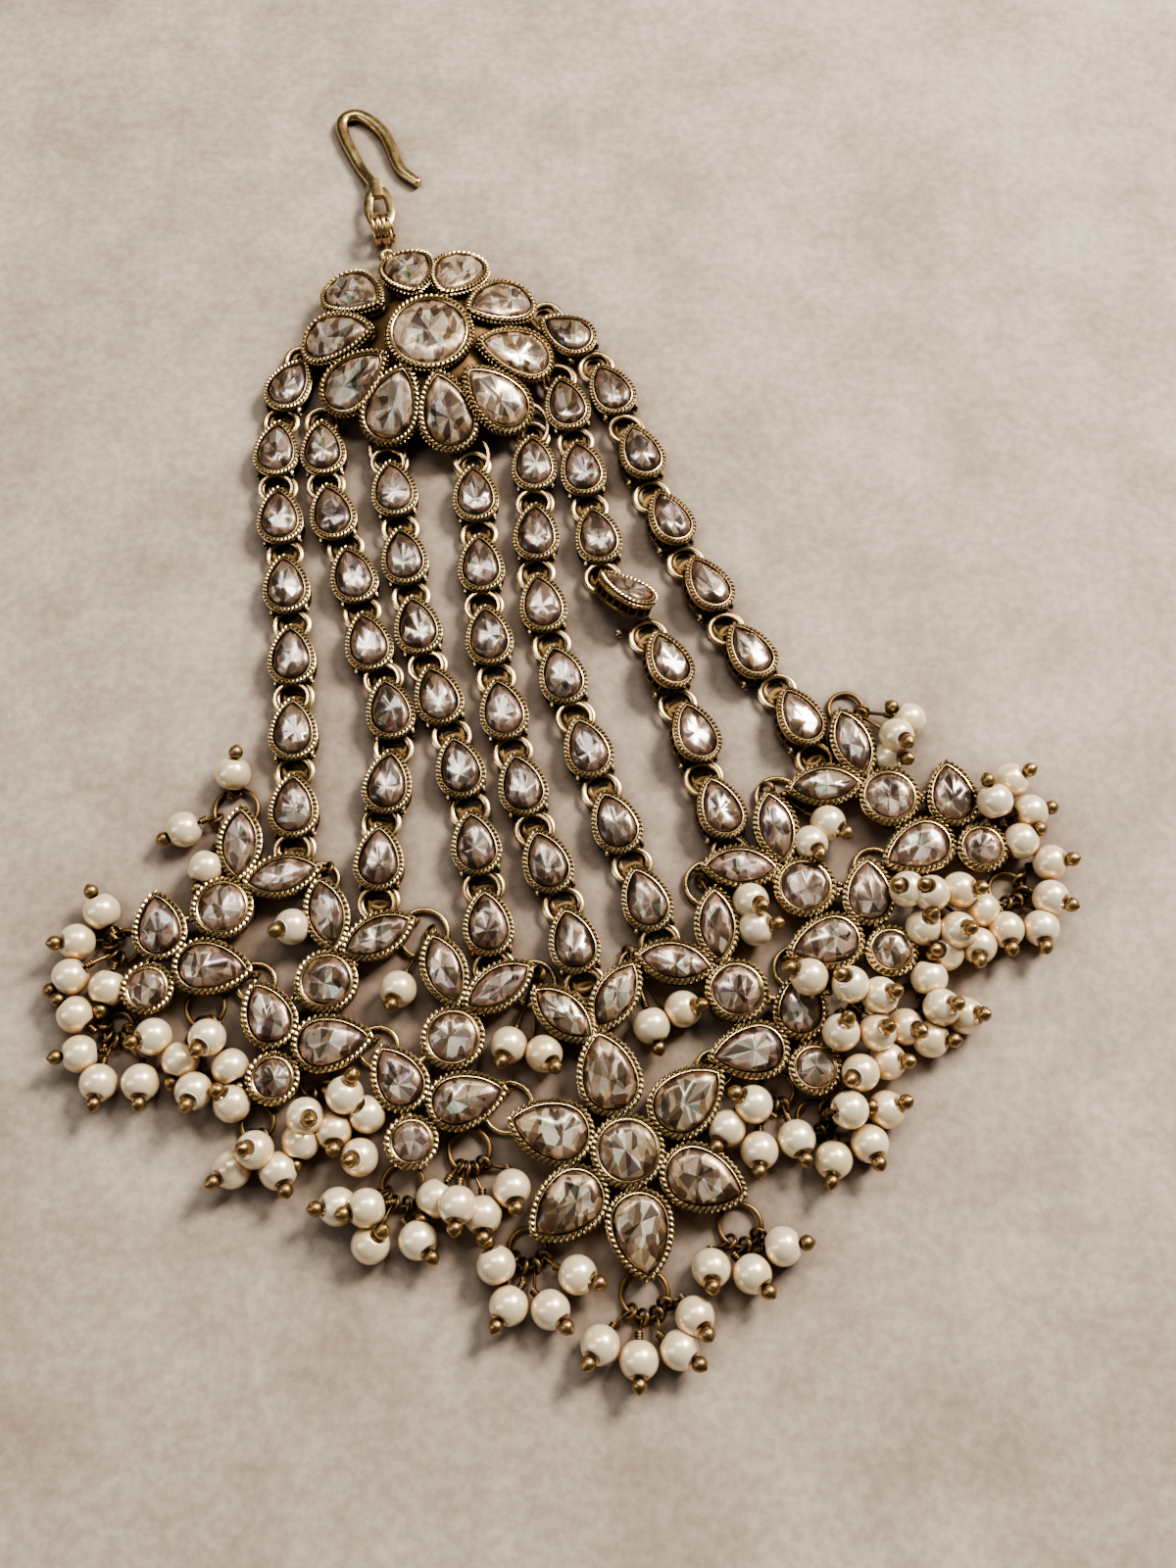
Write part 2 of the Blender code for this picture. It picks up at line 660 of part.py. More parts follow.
def build_side_motif(name):
    cups = motif_cups(name)
    meshes = []
    for number, cup in enumerate(cups):
        mesh = stone_cup(cup["kind"], cup["length"], cup["width"], MOTIF_DEPTH, carries_peg(name, number))
        meshes.append(placed(mesh, cup["x"], cup["y"], MOTIF_FLOOR, cup["bearing"]))
    for i, j in SIDE_BARS:
        a = Vector((cups[i]["x"], cups[i]["y"]))
        b = Vector((cups[j]["x"], cups[j]["y"]))
        meshes.append(solder_bar(a.lerp(b, BAR_ENDS[0]), a.lerp(b, BAR_ENDS[1])))
    node(f"motif_{name}", meshes, "antique_gold")


def build_centre_motif():
    cups = motif_cups("centre")
    x, y = CENTRE
    round_cup = open_cup("round", CENTRE_ROUND, CENTRE_ROUND, MOTIF_DEPTH, ROUND_POINTS)
    meshes = [placed(round_cup, x, y, MOTIF_FLOOR, 0.0)]
    stone = loose_stone("round", CENTRE_ROUND, CENTRE_ROUND, MOTIF_DEPTH, ROUND_POINTS)
    node("centre_round_stone", [placed(stone, x, y, MOTIF_FLOOR, 0.0)], "champagne_stone")
    for i, cup in enumerate(cups):
        if cup["kind"] == "pear":
            has_peg = carries_peg("centre", i)
            mesh = open_cup("pear", cup["length"], cup["width"], MOTIF_DEPTH, PEAR_POINTS, has_peg)
            stone = loose_stone("pear", cup["length"], cup["width"], MOTIF_DEPTH, PEAR_POINTS)
            placed(stone, cup["x"], cup["y"], MOTIF_FLOOR, cup["bearing"])
            node(f"centre_petal_stone_{i + 1}", [stone], "champagne_stone")
        else:
            mesh = stone_cup("marquise", cup["length"], cup["width"], MOTIF_DEPTH, carries_peg("centre", i))
        meshes.append(placed(mesh, cup["x"], cup["y"], MOTIF_FLOOR, cup["bearing"]))
    for cup in cups[6:]:
        meshes.append(solder_bar(tip(cups[0], BAR_SETBACK), tip(cup, BAR_SETBACK, -1)))
    node("centre_setting", meshes, "antique_gold")


def build_joining_rings():
    for name, pair in joints():
        pegs = [tip(motif_cups(motif)[number], PEG_SETBACK) for motif, number in pair]
        middle = (pegs[0] + pegs[1]) / 2
        radius = (pegs[1] - pegs[0]).length / 2 + PEGS_IN_RING
        node(name, [ring((middle.x, middle.y, RING_HEIGHT), radius)], "antique_gold")


def crown_petal(make, number):
    """Cup or stone of one petal, tilted so that its tip is the high end and points to the crown's middle."""
    turn = math.radians(CROWN_FIRST_PETAL - 360.0 / CROWN_PETALS * number)
    x = CROWN[0] + CROWN_PETAL_REACH * math.cos(turn)
    y = CROWN[1] + CROWN_PETAL_REACH * math.sin(turn)
    mesh = make("pear", CROWN_PETAL_LENGTH, CROWN_PETAL_WIDTH, CROWN_PETAL_DEPTH, PEAR_POINTS)
    mesh.transform(Matrix.Translation((0, 0, -CROWN_PETAL_DEPTH)))
    return placed(mesh, x, y, CROWN_PETAL_TOP, math.degrees(turn) + 180.0, pitch=-CROWN_PETAL_TILT)


def crown_hub():
    """Flat-backed hub under the flower, which the petals and the middle cup are soldered to."""
    hub = bmesh.new()
    loops = []
    for radius, z in ((HUB_BASE, 0.0), (HUB_SHOULDER, HUB_SHOULDER_HEIGHT), (HUB_TOP, HUB_TOP_HEIGHT)):
        loops.append(add_loop(hub, round_outline(2 * radius, 2 * radius), z))
    bridge(hub, loops[0], loops[1])
    bridge(hub, loops[1], loops[2])
    hub.faces.new(list(reversed(loops[0])))
    hub.faces.new(loops[2])
    return placed(finished(hub), CROWN[0], CROWN[1], 0.0, HUB_TURN)


def build_crown():
    middle = (CROWN[0], CROWN[1], CROWN_TOP - CROWN_CUP_DEPTH, 0.0)
    cup = open_cup("round", CROWN_STONE, CROWN_STONE, CROWN_CUP_DEPTH, ROUND_POINTS)
    stone = loose_stone("round", CROWN_STONE, CROWN_STONE, CROWN_CUP_DEPTH, ROUND_POINTS)
    meshes = [crown_hub(), placed(cup, *middle)]
    node("crown_centre_stone", [placed(stone, *middle)], "champagne_stone")
    for i in range(CROWN_PETALS):
        meshes.append(crown_petal(open_cup, i))
        node(f"crown_petal_stone_{i + 1:02d}", [crown_petal(loose_stone, i)], "champagne_stone")
    node("crown_setting", meshes + [crown_lug()], "antique_gold")


def build_cluster(name):
    node(f"pearls_{name}", [cluster(spot) for spot in CLUSTERS[name]], "pearl")


def build_hook():
    """S-shaped hair hook, its flat eye, and two upright links that join the eye to the crown's lug."""
    turn = math.radians(EYE_BEARING)
    forward = Vector((math.cos(turn), math.sin(turn), 0))
    side = Vector((-forward.y, forward.x, 0))
    start = Vector((*HOOK_ROUTE[0], EYE_HEIGHT))
    eye = start + forward * EYE_LENGTH / 2
    path = [(x, y, HOOK_HEIGHT) for x, y in HOOK_ROUTE]
    path[0] = (*HOOK_ROUTE[0], EYE_HEIGHT)
    loop = sweep([eye + forward * EYE_LENGTH / 2 * math.cos(t) + side * EYE_WIDTH / 2 * math.sin(t)
                  for t in [2 * math.pi * i / RING_SIDES for i in range(RING_SIDES)]],
                 EYE_WIRE, WIRE_SIDES, closed=True)
    node("hook", [sweep(path, HOOK_WIRE, HOOK_SIDES), loop], "antique_gold")
    link_middle = start + forward * (EYE_LENGTH + EYE_IN_LINK)
    link_middle.z = HOOK_LINK_HEIGHT
    for label, sign in (("a", -1), ("b", 1)):
        centre = link_middle + side * sign * HOOK_LINK_SPREAD
        link = ring(centre, HOOK_LINK, HOOK_LINK_WIRE, forward, (0, 0, 1))
        node(f"hook_link_{label}", [link], "antique_gold")


def crown_lug():
    """U-shaped lug at the crown's first petal, which the hook's links pass through."""
    eye = math.radians(EYE_BEARING)
    reach = EYE_LENGTH + EYE_IN_LINK + LUG_IN_LINK
    bend = Vector((*HOOK_ROUTE[0], LUG_HEIGHT)) + reach * Vector((math.cos(eye), math.sin(eye), 0))
    turn = math.radians(LUG_BEARING)
    forward = Vector((math.cos(turn), math.sin(turn), 0))
    side = Vector((-forward.y, forward.x, 0))
    path = []
    for across, ahead in ((-1, 1), (-1, 0.15), (-0.7, 0), (0.7, 0), (1, 0.15), (1, 1)):
        path.append(bend + side * LUG_HALF_WIDTH * across + forward * LUG_LENGTH * ahead)
    return sweep(path, RING_WIRE, WIRE_SIDES)


def to_metres():
    shift = Matrix.Scale(MM, 4) @ Matrix.Translation((-MIDDLE[0], -MIDDLE[1], 0.0))
    for obj in bpy.context.scene.objects:
        obj.data.transform(shift)
        obj.data.update()


def build():
    clear_scene()
    build_hook()
    build_crown()
    for number in STRANDS:
        build_strand(number)
    build_centre_motif()
    for name in SIDE_MOTIFS:
        build_side_motif(name)
    build_joining_rings()
    for name in CLUSTERS:
        build_cluster(name)
    to_metres()


build()
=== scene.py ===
"""Looks of the jhoomar: roped settings, cut stones, flat jump rings, pearl drops and the hook.

Tables are in millimetres and degrees, in the same layout as the solids' own source: +Y runs from the
pearls to the hook, and bearings are counted from +X towards +Y. Pieces are made in millimetres and scaled
to metres when they become meshes.
"""

import math
import random

import bmesh
import bpy
import numpy as np
from mathutils import Matrix, Vector


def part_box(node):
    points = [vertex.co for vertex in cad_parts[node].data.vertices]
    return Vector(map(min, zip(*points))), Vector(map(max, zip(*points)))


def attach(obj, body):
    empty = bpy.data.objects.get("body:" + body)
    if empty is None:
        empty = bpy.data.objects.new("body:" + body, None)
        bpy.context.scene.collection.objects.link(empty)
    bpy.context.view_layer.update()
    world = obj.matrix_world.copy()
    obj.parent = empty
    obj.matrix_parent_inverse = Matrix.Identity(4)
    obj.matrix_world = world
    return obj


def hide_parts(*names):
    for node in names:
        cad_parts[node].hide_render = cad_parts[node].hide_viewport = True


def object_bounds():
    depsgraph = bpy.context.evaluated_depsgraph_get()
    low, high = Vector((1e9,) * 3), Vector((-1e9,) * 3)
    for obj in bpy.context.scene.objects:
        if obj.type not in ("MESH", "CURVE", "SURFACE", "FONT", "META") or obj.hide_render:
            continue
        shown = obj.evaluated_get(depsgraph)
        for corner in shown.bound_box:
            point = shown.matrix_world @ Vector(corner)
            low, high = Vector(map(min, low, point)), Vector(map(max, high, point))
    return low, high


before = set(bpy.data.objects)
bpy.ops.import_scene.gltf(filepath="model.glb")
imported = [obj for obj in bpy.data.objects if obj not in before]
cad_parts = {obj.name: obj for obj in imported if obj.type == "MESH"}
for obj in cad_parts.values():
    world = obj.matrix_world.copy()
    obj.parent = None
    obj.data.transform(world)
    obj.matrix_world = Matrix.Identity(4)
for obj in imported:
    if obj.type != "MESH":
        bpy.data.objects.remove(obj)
cad_low, cad_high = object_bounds()

# Metres in a millimetre, and where the part's own origin lies in the tables' layout
MM = 0.001
MIDDLE = (-0.75, -0.34)

# Camera of the photograph, in millimetres from the part's origin
CAMERA = (2.25, -66.31, 150.0)
CAMERA_ELEVATION = 71.0
CAMERA_LENS = 34.58

# Sizes that the solids have too
LINK_LENGTH = 7.1
LINK_WIDTH = 5.2
LINK_DEPTH = 2.3
MOTIF_FLOOR = 1.15
MOTIF_DEPTH = 1.9
PEARL = 3.7
CROWN = (-16.4, 36.5)
CROWN_PETALS = 10
CROWN_FIRST_PETAL = 106.0
CROWN_PETAL_REACH = 10.0
CROWN_PETAL_LENGTH = 9.2
CROWN_PETAL_WIDTH = 6.6
CROWN_PETAL_TILT = 22.0
CROWN_PETAL_TOP = 4.6
CROWN_PETAL_DEPTH = 1.8
CROWN_NUDGES = [(-0.2, 0.3), (-0.65, 0.25), (-0.45, 0.0), (-0.2, -0.7), (-0.2, -0.95), (-0.65, 0.7),
                (-0.65, 1.3), (-0.2, 0.7), (-0.9, 0.7), (-1.3, 0.7)]
CROWN_STONE = 9.8
CROWN_TOP = 6.4
CROWN_CUP_DEPTH = 2.4
CENTRE = (5.3, -53.0)
CENTRE_ROUND = 7.1
CENTRE_PETAL_LENGTH = 8.6
CENTRE_PETAL_WIDTH = 6.4
CENTRE_PETAL_REACH = 7.7
CENTRE_PETAL_BEARINGS = [104.0, 40.0, -20.0, -81.0, -139.0, 165.0]
CENTRE_MARQUISES = [
    dict(kind="marquise", x=-6.2, y=13.2, bearing=140.0, length=8.2, width=4.6),
    dict(kind="marquise", x=-1.1, y=15.0, bearing=60.0, length=8.2, width=4.6),
]
HOOK_ROUTE = [(-24.0, 60.5), (-25.9, 63.7), (-27.2, 66.2), (-28.4, 68.8), (-28.9, 70.8), (-28.3, 72.0),
              (-26.9, 72.3), (-25.2, 71.3), (-23.7, 69.6), (-22.7, 67.6), (-21.9, 65.3), (-21.1, 63.8),
              (-19.9, 62.7), (-19.0, 62.0)]
HOOK_HEIGHT = 0.7
EYE_BEARING = -81.0
EYE_LENGTH = 5.9
EYE_WIDTH = 2.7
EYE_HEIGHT = 1.7
HOOK_RADIUS = 0.74
CROWN_LUG = [(-21.0, 46.4, 2.0), (-22.9, 50.0, 1.8), (-22.6, 51.0, 1.8), (-21.9, 51.1, 1.8),
             (-21.3, 50.3, 1.8), (-18.9, 46.6, 2.0)]
LUG_WIRE = 0.36
DROPS_TOP = 7.0

# Settings: bright rim as (inset from the outline, depth below the top), foot and crown petal's skirt as
# (inset, height)
GALLERY_FLOOR = 0.42
GALLERY_TOP = 0.98
GALLERY_LEAST = 0.3
RIM_SECTION = [(0.13, 0.62), (0.13, 0.36), (0.3, 0.3), (0.44, 0.28), (0.48, 0.04), (0.56, 0.02), (0.62, 0.14),
               (0.68, 0.45)]
FOOT_SECTION = [(0.66, 0.0), (0.24, 0.0), (0.14, 0.1), (0.14, GALLERY_FLOOR - 0.1), (0.24, GALLERY_FLOOR),
                (0.66, GALLERY_FLOOR)]
PETAL_SKIRT = [(0.3, 0.05), (0.55, -0.7), (0.75, -1.3)]
POST_PITCH = 1.15
POST_WIDTH = 0.34
POST_INSET = 0.32
POST_OVERLAP = 0.2
# Length of an outline as a share of its length plus its width
POST_SHARE = 1.65

# Twisted ropes on the rims and plain wires beside them
LINK_ROPE = dict(pitch=0.46, thick=0.16, long=0.33)
PETAL_ROPE = dict(pitch=0.56, thick=0.19, long=0.38)
LOWER_ROPE = dict(pitch=0.5, thick=0.17, long=0.3, slant=-40.0)
ROPE_SLANT = 42.0
ROPE_INSET = 0.25
ROPE_DROP = 0.1
LOWER_INSET = 0.04
LOWER_DROP = 0.52
CORE_RADIUS = 0.14
THIN_WIRE = 0.1
WIRE_INSET = 0.12
WIRE_DROP = 0.56
INNER_DROP = 0.12

# Steps of outlines, and the smallest tip that is still rounded
WALL_STEPS = 32
CORE_STEPS = 40
ROPE_STEPS = 120
STONE_STEPS = 168
TIP_STEPS = 8
FLANK_STEPS = 24
BACK_STEPS = 32
STRAND_STEPS = 12
LEAST_TIP = 0.03
TIP_ROUNDING = {"link": 0.34, "pear": 0.28, "marquise": 0.2}

# Stones. Each ring of facet corners: how many, nearest and farthest share of the way out, and height
STONE_INSET = 0.64
STONE_SUNK = 0.24
STONE_RINGS = [(16, 1.0, 1.0, -0.25), (16, 1.0, 1.0, 0.0), (15, 0.84, 0.94, 0.26), (12, 0.46, 0.84, 0.45)]
BAND_REACHES = (1.0, 0.92, 0.7)
# Brightness of the star's facets, as painted reflections
STAR_TONES = (0.08, 0.26, 0.4, 0.55, 0.75, 1.0, 1.7)
HEART_WANDER = 0.07
HEART_HEIGHT = 0.2
# Each group's factor on its painted facet reflections
STRAND_GLOW = 0.58
MOTIF_GLOW = 0.92
CENTRE_GLOW = 1.35
CROWN_GLOW = 1.3

# Crown's underside and its plate between the petals as (radius, height)
CROWN_HUB = [(4.2, 0.0), (4.2, 1.2), (6.8, 3.2), (6.2, 3.5), (1.0, 3.7)]
CROWN_PLATE = [(4.3, 4.4), (4.8, 5.0), (6.4, 4.6), (7.4, 4.1), (4.3, 3.9)]

# Jump rings, and the cast loops under a link's tip: how far out, half their width and half their length
RING_ACROSS = 1.88
RING_ALONG = 1.8
RING_WIRE = 0.32
LINK_LOOPS = ((0.9, 1.25, 1.1), (-0.3, 1.1, 0.9))
LINK_LOOP_WIRE = 0.4
LUG_REACH = 1.85
LONG_RING_STRANDS = (3, 4, 5)

# Hook's eye, and the wires of each ring under it: shift to the side and lean
EYE_STEPS = 36
EYE_WIRE = 0.56
HOOK_WIRES = ((-0.62, 0.16), (0.0, -0.1), (0.6, 0.2))

# Motifs' small eyes and solder, and the parts of a pearl drop
EYE_LIFT = 0.75
SOLDER_BEADS = 5
HOLE_RIM = 1.02
HOLE_DISH = 0.34
BALL_RADIUS = 0.76
BALL_REACH = 2.45
PIN_RADIUS = 0.19
PIN_LOWEST = 0.3
COIL_TURNS = 3
COIL_PITCH = 0.27
COIL_RADIUS = 0.27
DROP_RING_WIRE = 0.27

# Materials. Reaches of the shading are in millimetres, and the mix node's sockets are its colour ones
CUT_LAYER = "cut"
WHITE = (1.0, 1.0, 1.0)
RECESS_REACH = 1.4
LINE_REACH = 0.3
PEARL_SHADE_REACH = 2.6
FLOOR_SHADE_REACH = 9.0
MIX_INPUTS = (0, 6, 7)
MIX_OUTPUT = 2

# Each strand's route: under the crown, link centres from the first to the last, then under its motif
STRANDS = {
    1: [(-29.8, 37.6), (-32.6, 32.7), (-33.6, 24.0), (-32.7, 15.8), (-30.3, -1.0), (-29.0, -18.0),
        (-28.6, -24.0)],
    2: [(-28.2, 29.6), (-28.4, 24.4), (-26.9, 16.3), (-24.0, 7.9), (-21.8, -0.8), (-19.2, -9.2),
        (-19.9, -23.6), (-19.0, -30.2)],
    3: [(-21.0, 24.0), (-20.2, 19.2), (-16.9, 2.2), (-11.7, -14.6), (-8.6, -30.4), (-8.4, -36.0)],
    4: [(-12.1, 24.2), (-11.1, 18.6), (-9.2, 1.2), (-5.3, -16.0), (0.0, -32.2), (1.0, -38.4)],
    5: [(-5.8, 28.2), (-4.6, 22.5), (-3.5, 5.3), (1.6, -12.2), (7.3, -27.9), (9.0, -33.4)],
    6: [(-3.4, 35.4), (-1.0, 30.2), (2.6, 13.0), (4.6, 6.1), (9.3, -1.8), (14.8, -18.4), (16.4, -23.6)],
    7: [(-4.4, 41.6), (-0.9, 39.6), (4.2, 31.8), (10.2, 14.9), (18.4, -0.8), (23.4, -8.4), (25.2, -14.2)],
}
LINKS = 7

# How single links lie: roll about their own length and turn from the chain's line, by (strand, link)
ROLLS = {(6, 4): 40.0, (6, 5): 20.0, (6, 6): 16.0, (6, 7): 10.0, (7, 3): 10.0, (7, 4): 14.0, (7, 5): 14.0,
         (7, 6): 12.0, (7, 7): 12.0}
TURNS = {(1, 1): -12.0, (6, 4): 28.0, (7, 1): 18.0}

# Settings of a side motif, and which of them are soldered together
SIDE_CUPS = [
    dict(kind="round", x=0.0, y=0.0, bearing=0.0, length=6.3, width=6.3),
    dict(kind="marquise", x=-0.35, y=6.85, bearing=105.0, length=8.2, width=4.6),
    dict(kind="marquise", x=4.85, y=4.65, bearing=28.0, length=8.2, width=4.6),
    dict(kind="pear", x=-5.6, y=-3.2, bearing=116.0, length=7.2, width=5.4),
    dict(kind="pear", x=0.95, y=-6.0, bearing=9.0, length=8.0, width=5.7),
    dict(kind="round", x=-4.65, y=-9.55, bearing=0.0, length=5.2, width=5.2),
]
SIDE_BARS = [(0, 1), (0, 2), (0, 3), (0, 4), (4, 5), (3, 5)]

# Place, turn and mirror factor of each side motif
SIDE_MOTIFS = {
    "left_1": (-35.3, -29.1, -13.5, 1),
    "left_2": (-24.4, -36.6, 0.0, 1),
    "left_3": (-11.7, -42.2, 5.8, 1),
    "right_3": (16.2, -37.5, 18.1, -1),
    "right_2": (23.4, -26.9, 25.7, -1),
    "right_1": (32.6, -17.3, 33.1, -1),
}

# Pearl drops by the (x, y, radius) of their ring, with radius 0 where a joining ring holds them. Each pearl:
# bearing and reach from its ring, lift off the surface, and its ball end's bearing and reach from the pearl,
# as seen from above (0 where the pearl hides it)
DROPS = {
    "top_left": {(-35.2, -18.1, 2.3): [(95, 3.6, 0, 80, 2.2), (-153, 5.5, 0, 0, 0), (-109, 7.0, 0.3, 0, 0)]},
    "left_1": {
        (-45.3, -32.5, 1.6): [(126, 4.0, 0, 119, 2.3), (179, 4.5, 0, -168, 2.0), (-144, 5.9, 0.2, 0, 0),
            (-102, 4.7, 0, 0, 0)],
        (-45.2, -40.8, 1.5): [(165, 4.1, 0, 141, 2.4), (-138, 4.2, 0, -168, 2.3), (-100, 5.7, 0, -91, 2.3),
            (-61, 6.4, 0, -84, 2.3), (-16, 4.1, 0.4, -157, 2.0)],
    },
    "left_inner": {(-36.7, -38.8, 1.9): [(-77, 3.3, 1.6, -111, 1.7), (-62, 6.9, 0, 0, 0),
        (-107, 5.7, 0, 0, 0), (-91, 8.4, 0.6, -98, 1.7), (-69, 10.3, 0, 138, 1.7)]},
    "left_2": {
        (-30.7, -50.1, 1.6): [(-86, 2.7, 1.4, -173, 0.7), (-112, 4.9, 0, -140, 2.1), (-61, 5.3, 0, -63, 2.3)],
        (-25.2, -46.1, 1.6): [(-101, 3.6, 1.2, -30, 1.1), (-99, 6.0, 0, 0, 0), (-66, 5.3, 0, -82, 2.1),
            (-26, 3.4, 1.5, 64, 2.0), (-32, 6.3, 0, 139, 1.6), (-57, 8.8, 0, -146, 0.9)],
    },
    "left_3": {
        (-16.3, -56.0, 2.0): [(-161, 6.3, 0, -172, 2.1), (-146, 3.9, 1.5, -165, 2.3), (-116, 6.1, 0, 43, 1.8),
            (-71, 5.4, 0, -48, 2.3)],
        (-10.0, -52.7, 2.0): [(-123, 5.5, 0, 0, 0), (-100, 5.3, 1.6, -93, 2.3), (-76, 6.3, 0, -86, 2.3),
            (-41, 5.6, 0, -75, 2.1)],
    },
    "centre_left": {(-4.2, -61.8, 1.8): [(-152, 3.3, 0, 112, 2.4), (-108, 5.4, 0, -122, 2.3),
        (-68, 5.9, 0, -45, 2.3), (-27, 5.3, 0, -20, 2.3)]},
    "centre_bottom": {(6.8, -65.9, 2.2): [(-133, 6.1, 0, -126, 2.1), (-96, 5.8, 0, -91, 2.3),
        (-57, 5.8, 0, -35, 2.3), (-23, 5.0, 0.3, -56, 2.0)]},
    "centre_right": {(16.0, -59.7, 2.0): [(-127, 4.9, 0, -92, 1.8), (-79, 4.5, 0, -48, 2.3),
        (-27, 4.3, 0, 8, 2.4)]},
    "right_3": {
        (20.0, -46.9, 1.7): [(-143, 6.4, 0, -122, 2.3), (-147, 2.9, 0.8, 152, 2.2), (-109, 6.3, 0, -95, 2.2),
            (-72, 5.1, 0, -72, 2.3)],
        (23.5, -49.6, 1.6): [(-70, 4.4, 0, -101, 2.3), (-27, 5.7, 0, -72, 2.2), (10, 3.4, 1.7, 0, 0),
            (5, 6.9, 0, 19, 1.9), (42, 6.2, 1.5, -146, 1.7), (36, 9.0, 0, -7, 1.9)],
    },
    "right_2": {
        (26.6, -38.1, 1.9): [(145, 3.7, 3.0, 159, 2.3), (54, 1.7, 3.2, 142, 1.4), (-93, 3.4, 2.2, 69, 1.2),
            (-45, 4.8, 1.6, 20, 0.8), (4, 3.9, 2.3, 4, 1.3), (-25, 6.8, 0, -30, 1.4)],
        (33.8, -38.3, 1.7): [(-70, 4.1, 0, -8, 2.2), (-15, 2.8, 1.5, 0, 1.2), (-17, 5.2, 0, -8, 1.5),
            (53, 2.8, 0.5, 81, 2.3)],
    },
    "right_1": {
        (36.2, -26.4, 1.6): [(-166, 2.3, 2.6, 180, 1.4), (-80, 1.0, 2.8, 150, 1.2), (-12, 3.1, 1.6, -3, 2.0),
            (-101, 4.6, 1.2, 58, 1.1), (-62, 5.4, 1.7, -20, 0.9), (-28, 5.8, 0, 0, 0),
            (-55, 7.8, 0, -101, 2.0), (-81, 7.2, 0, -176, 1.5)],
        (44.3, -26.6, 1.7): [(-99, 4.6, 0, -85, 2.3), (-57, 5.2, 0, -89, 2.3), (-17, 4.3, 0.4, -31, 2.1),
            (29, 5.1, 0, 0, 2.0)],
        (43.4, -19.6, 1.4): [(-41, 3.4, 0.5, 31, 2.4), (13, 3.9, 0, 0, 0), (83, 2.1, 1.9, 110, 2.3),
            (64, 4.8, 0, 24, 2.0)],
    },
    "top_right": {(29.0, -6.7, 1.8): [(-36, 6.1, 1.6, -58, 1.6), (-16, 6.6, 0, 143, 2.4),
        (-57, 7.2, 0, -19, 1.9)]},
    "upper_1": {(-25.1, -24.3, 0): [(-116, 7.3, 0.5, -152, 1.7)]},
    "upper_2": {(-14.3, -30.9, 0): [(-116, 7.0, 0.3, -105, 2.0)]},
    "upper_3": {(-3.4, -35.2, 0): [(-111, 8.1, 0, -109, 2.0), (-86, 8.4, 0, -53, 2.0)]},
    "upper_4": {(5.4, -33.1, 0): [(-73, 8.1, 0, 0, 0), (-48, 8.2, 0, 4, 1.8)]},
    "upper_5": {(12.9, -25.6, 0): [(-27, 5.7, 0.9, -43, 1.4), (-44, 7.7, 0.6, 6, 2.1)]},
    "upper_6": {(20.0, -15.7, 0): [(-34, 7.5, 0.3, -36, 2.3), (-56, 7.7, 0.4, -65, 1.8)]},
}

random.seed(7)


class Shape:
    """Points in millimetres with their quads and triangles, gathered before they become one mesh."""

    def __init__(self):
        self.points = []
        self.quads = []
        self.tris = []
        self.tones = []
        self.count = 0

    def add(self, part, matrix=None):
        points, quads, tris, tones = part
        if matrix is not None:
            m = np.array(matrix)
            points = points @ m[:3, :3].T + m[:3, 3]
        self.points.append(points)
        self.quads.append(quads + self.count)
        self.tris.append(tris + self.count)
        self.tones.append(tones)
        self.count += len(points)

    def part(self):
        """All that was added, as one part that can be added elsewhere."""
        return tuple(np.concatenate(rows) for rows in (self.points, self.quads, self.tris, self.tones))


def template(points, faces, tones=None):
    """A part: its points, quads and triangles with normals facing out, and a tone for each triangle."""
    shape = bmesh.new()
    verts = [shape.verts.new(p) for p in points]
    for face in faces:
        shape.faces.new([verts[i] for i in face])
    bmesh.ops.recalc_face_normals(shape, faces=shape.faces)
    shape.verts.index_update()
    quads = []
    tris = []
    colours = []
    for number, face in enumerate(shape.faces):
        corners = [v.index for v in face.verts]
        if len(corners) == 4:
            quads.append(corners)
            continue
        for i in range(1, len(corners) - 1):
            tris.append((corners[0], corners[i], corners[i + 1]))
            if tones:
                colours.append(tones[number])
    places = np.array([v.co[:] for v in shape.verts])
    shape.free()
    return (places, np.array(quads, int).reshape(-1, 4), np.array(tris, int).reshape(-1, 3),
            np.array(colours, float).reshape(-1, 3))


def piece(name, shape, material, replaced=(), smooth=None):
    """One shown object from a gathered shape. Smooth is the angle over which edges stay sharp."""
    points, quads, tris, tones = shape.part()
    mesh = bpy.data.meshes.new(name)
    mesh.vertices.add(len(points))
    mesh.vertices.foreach_set("co", ((points - (*MIDDLE, 0.0)) * MM).ravel())
    mesh.loops.add(quads.size + tris.size)
    mesh.loops.foreach_set("vertex_index", np.concatenate([quads.ravel(), tris.ravel()]))
    mesh.polygons.add(len(quads) + len(tris))
    starts = np.concatenate([np.arange(len(quads)) * 4, quads.size + np.arange(len(tris)) * 3])
    mesh.polygons.foreach_set("loop_start", starts)
    mesh.update(calc_edges=True)
    if len(tones):
        layer = mesh.color_attributes.new(CUT_LAYER, "FLOAT_COLOR", "CORNER")
        colours = np.ones((quads.size + tris.size, 4))
        colours[quads.size:, :3] = np.repeat(tones, 3, axis=0)
        layer.data.foreach_set("color", colours.ravel())
    if smooth:
        mesh.shade_smooth()
        mesh.set_sharp_from_angle(angle=math.radians(smooth))
    made = bpy.data.objects.new(name, mesh)
    bpy.context.scene.collection.objects.link(made)
    mesh.materials.append(material)
    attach(made, "root")
    if replaced:
        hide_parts(*replaced)
    return made


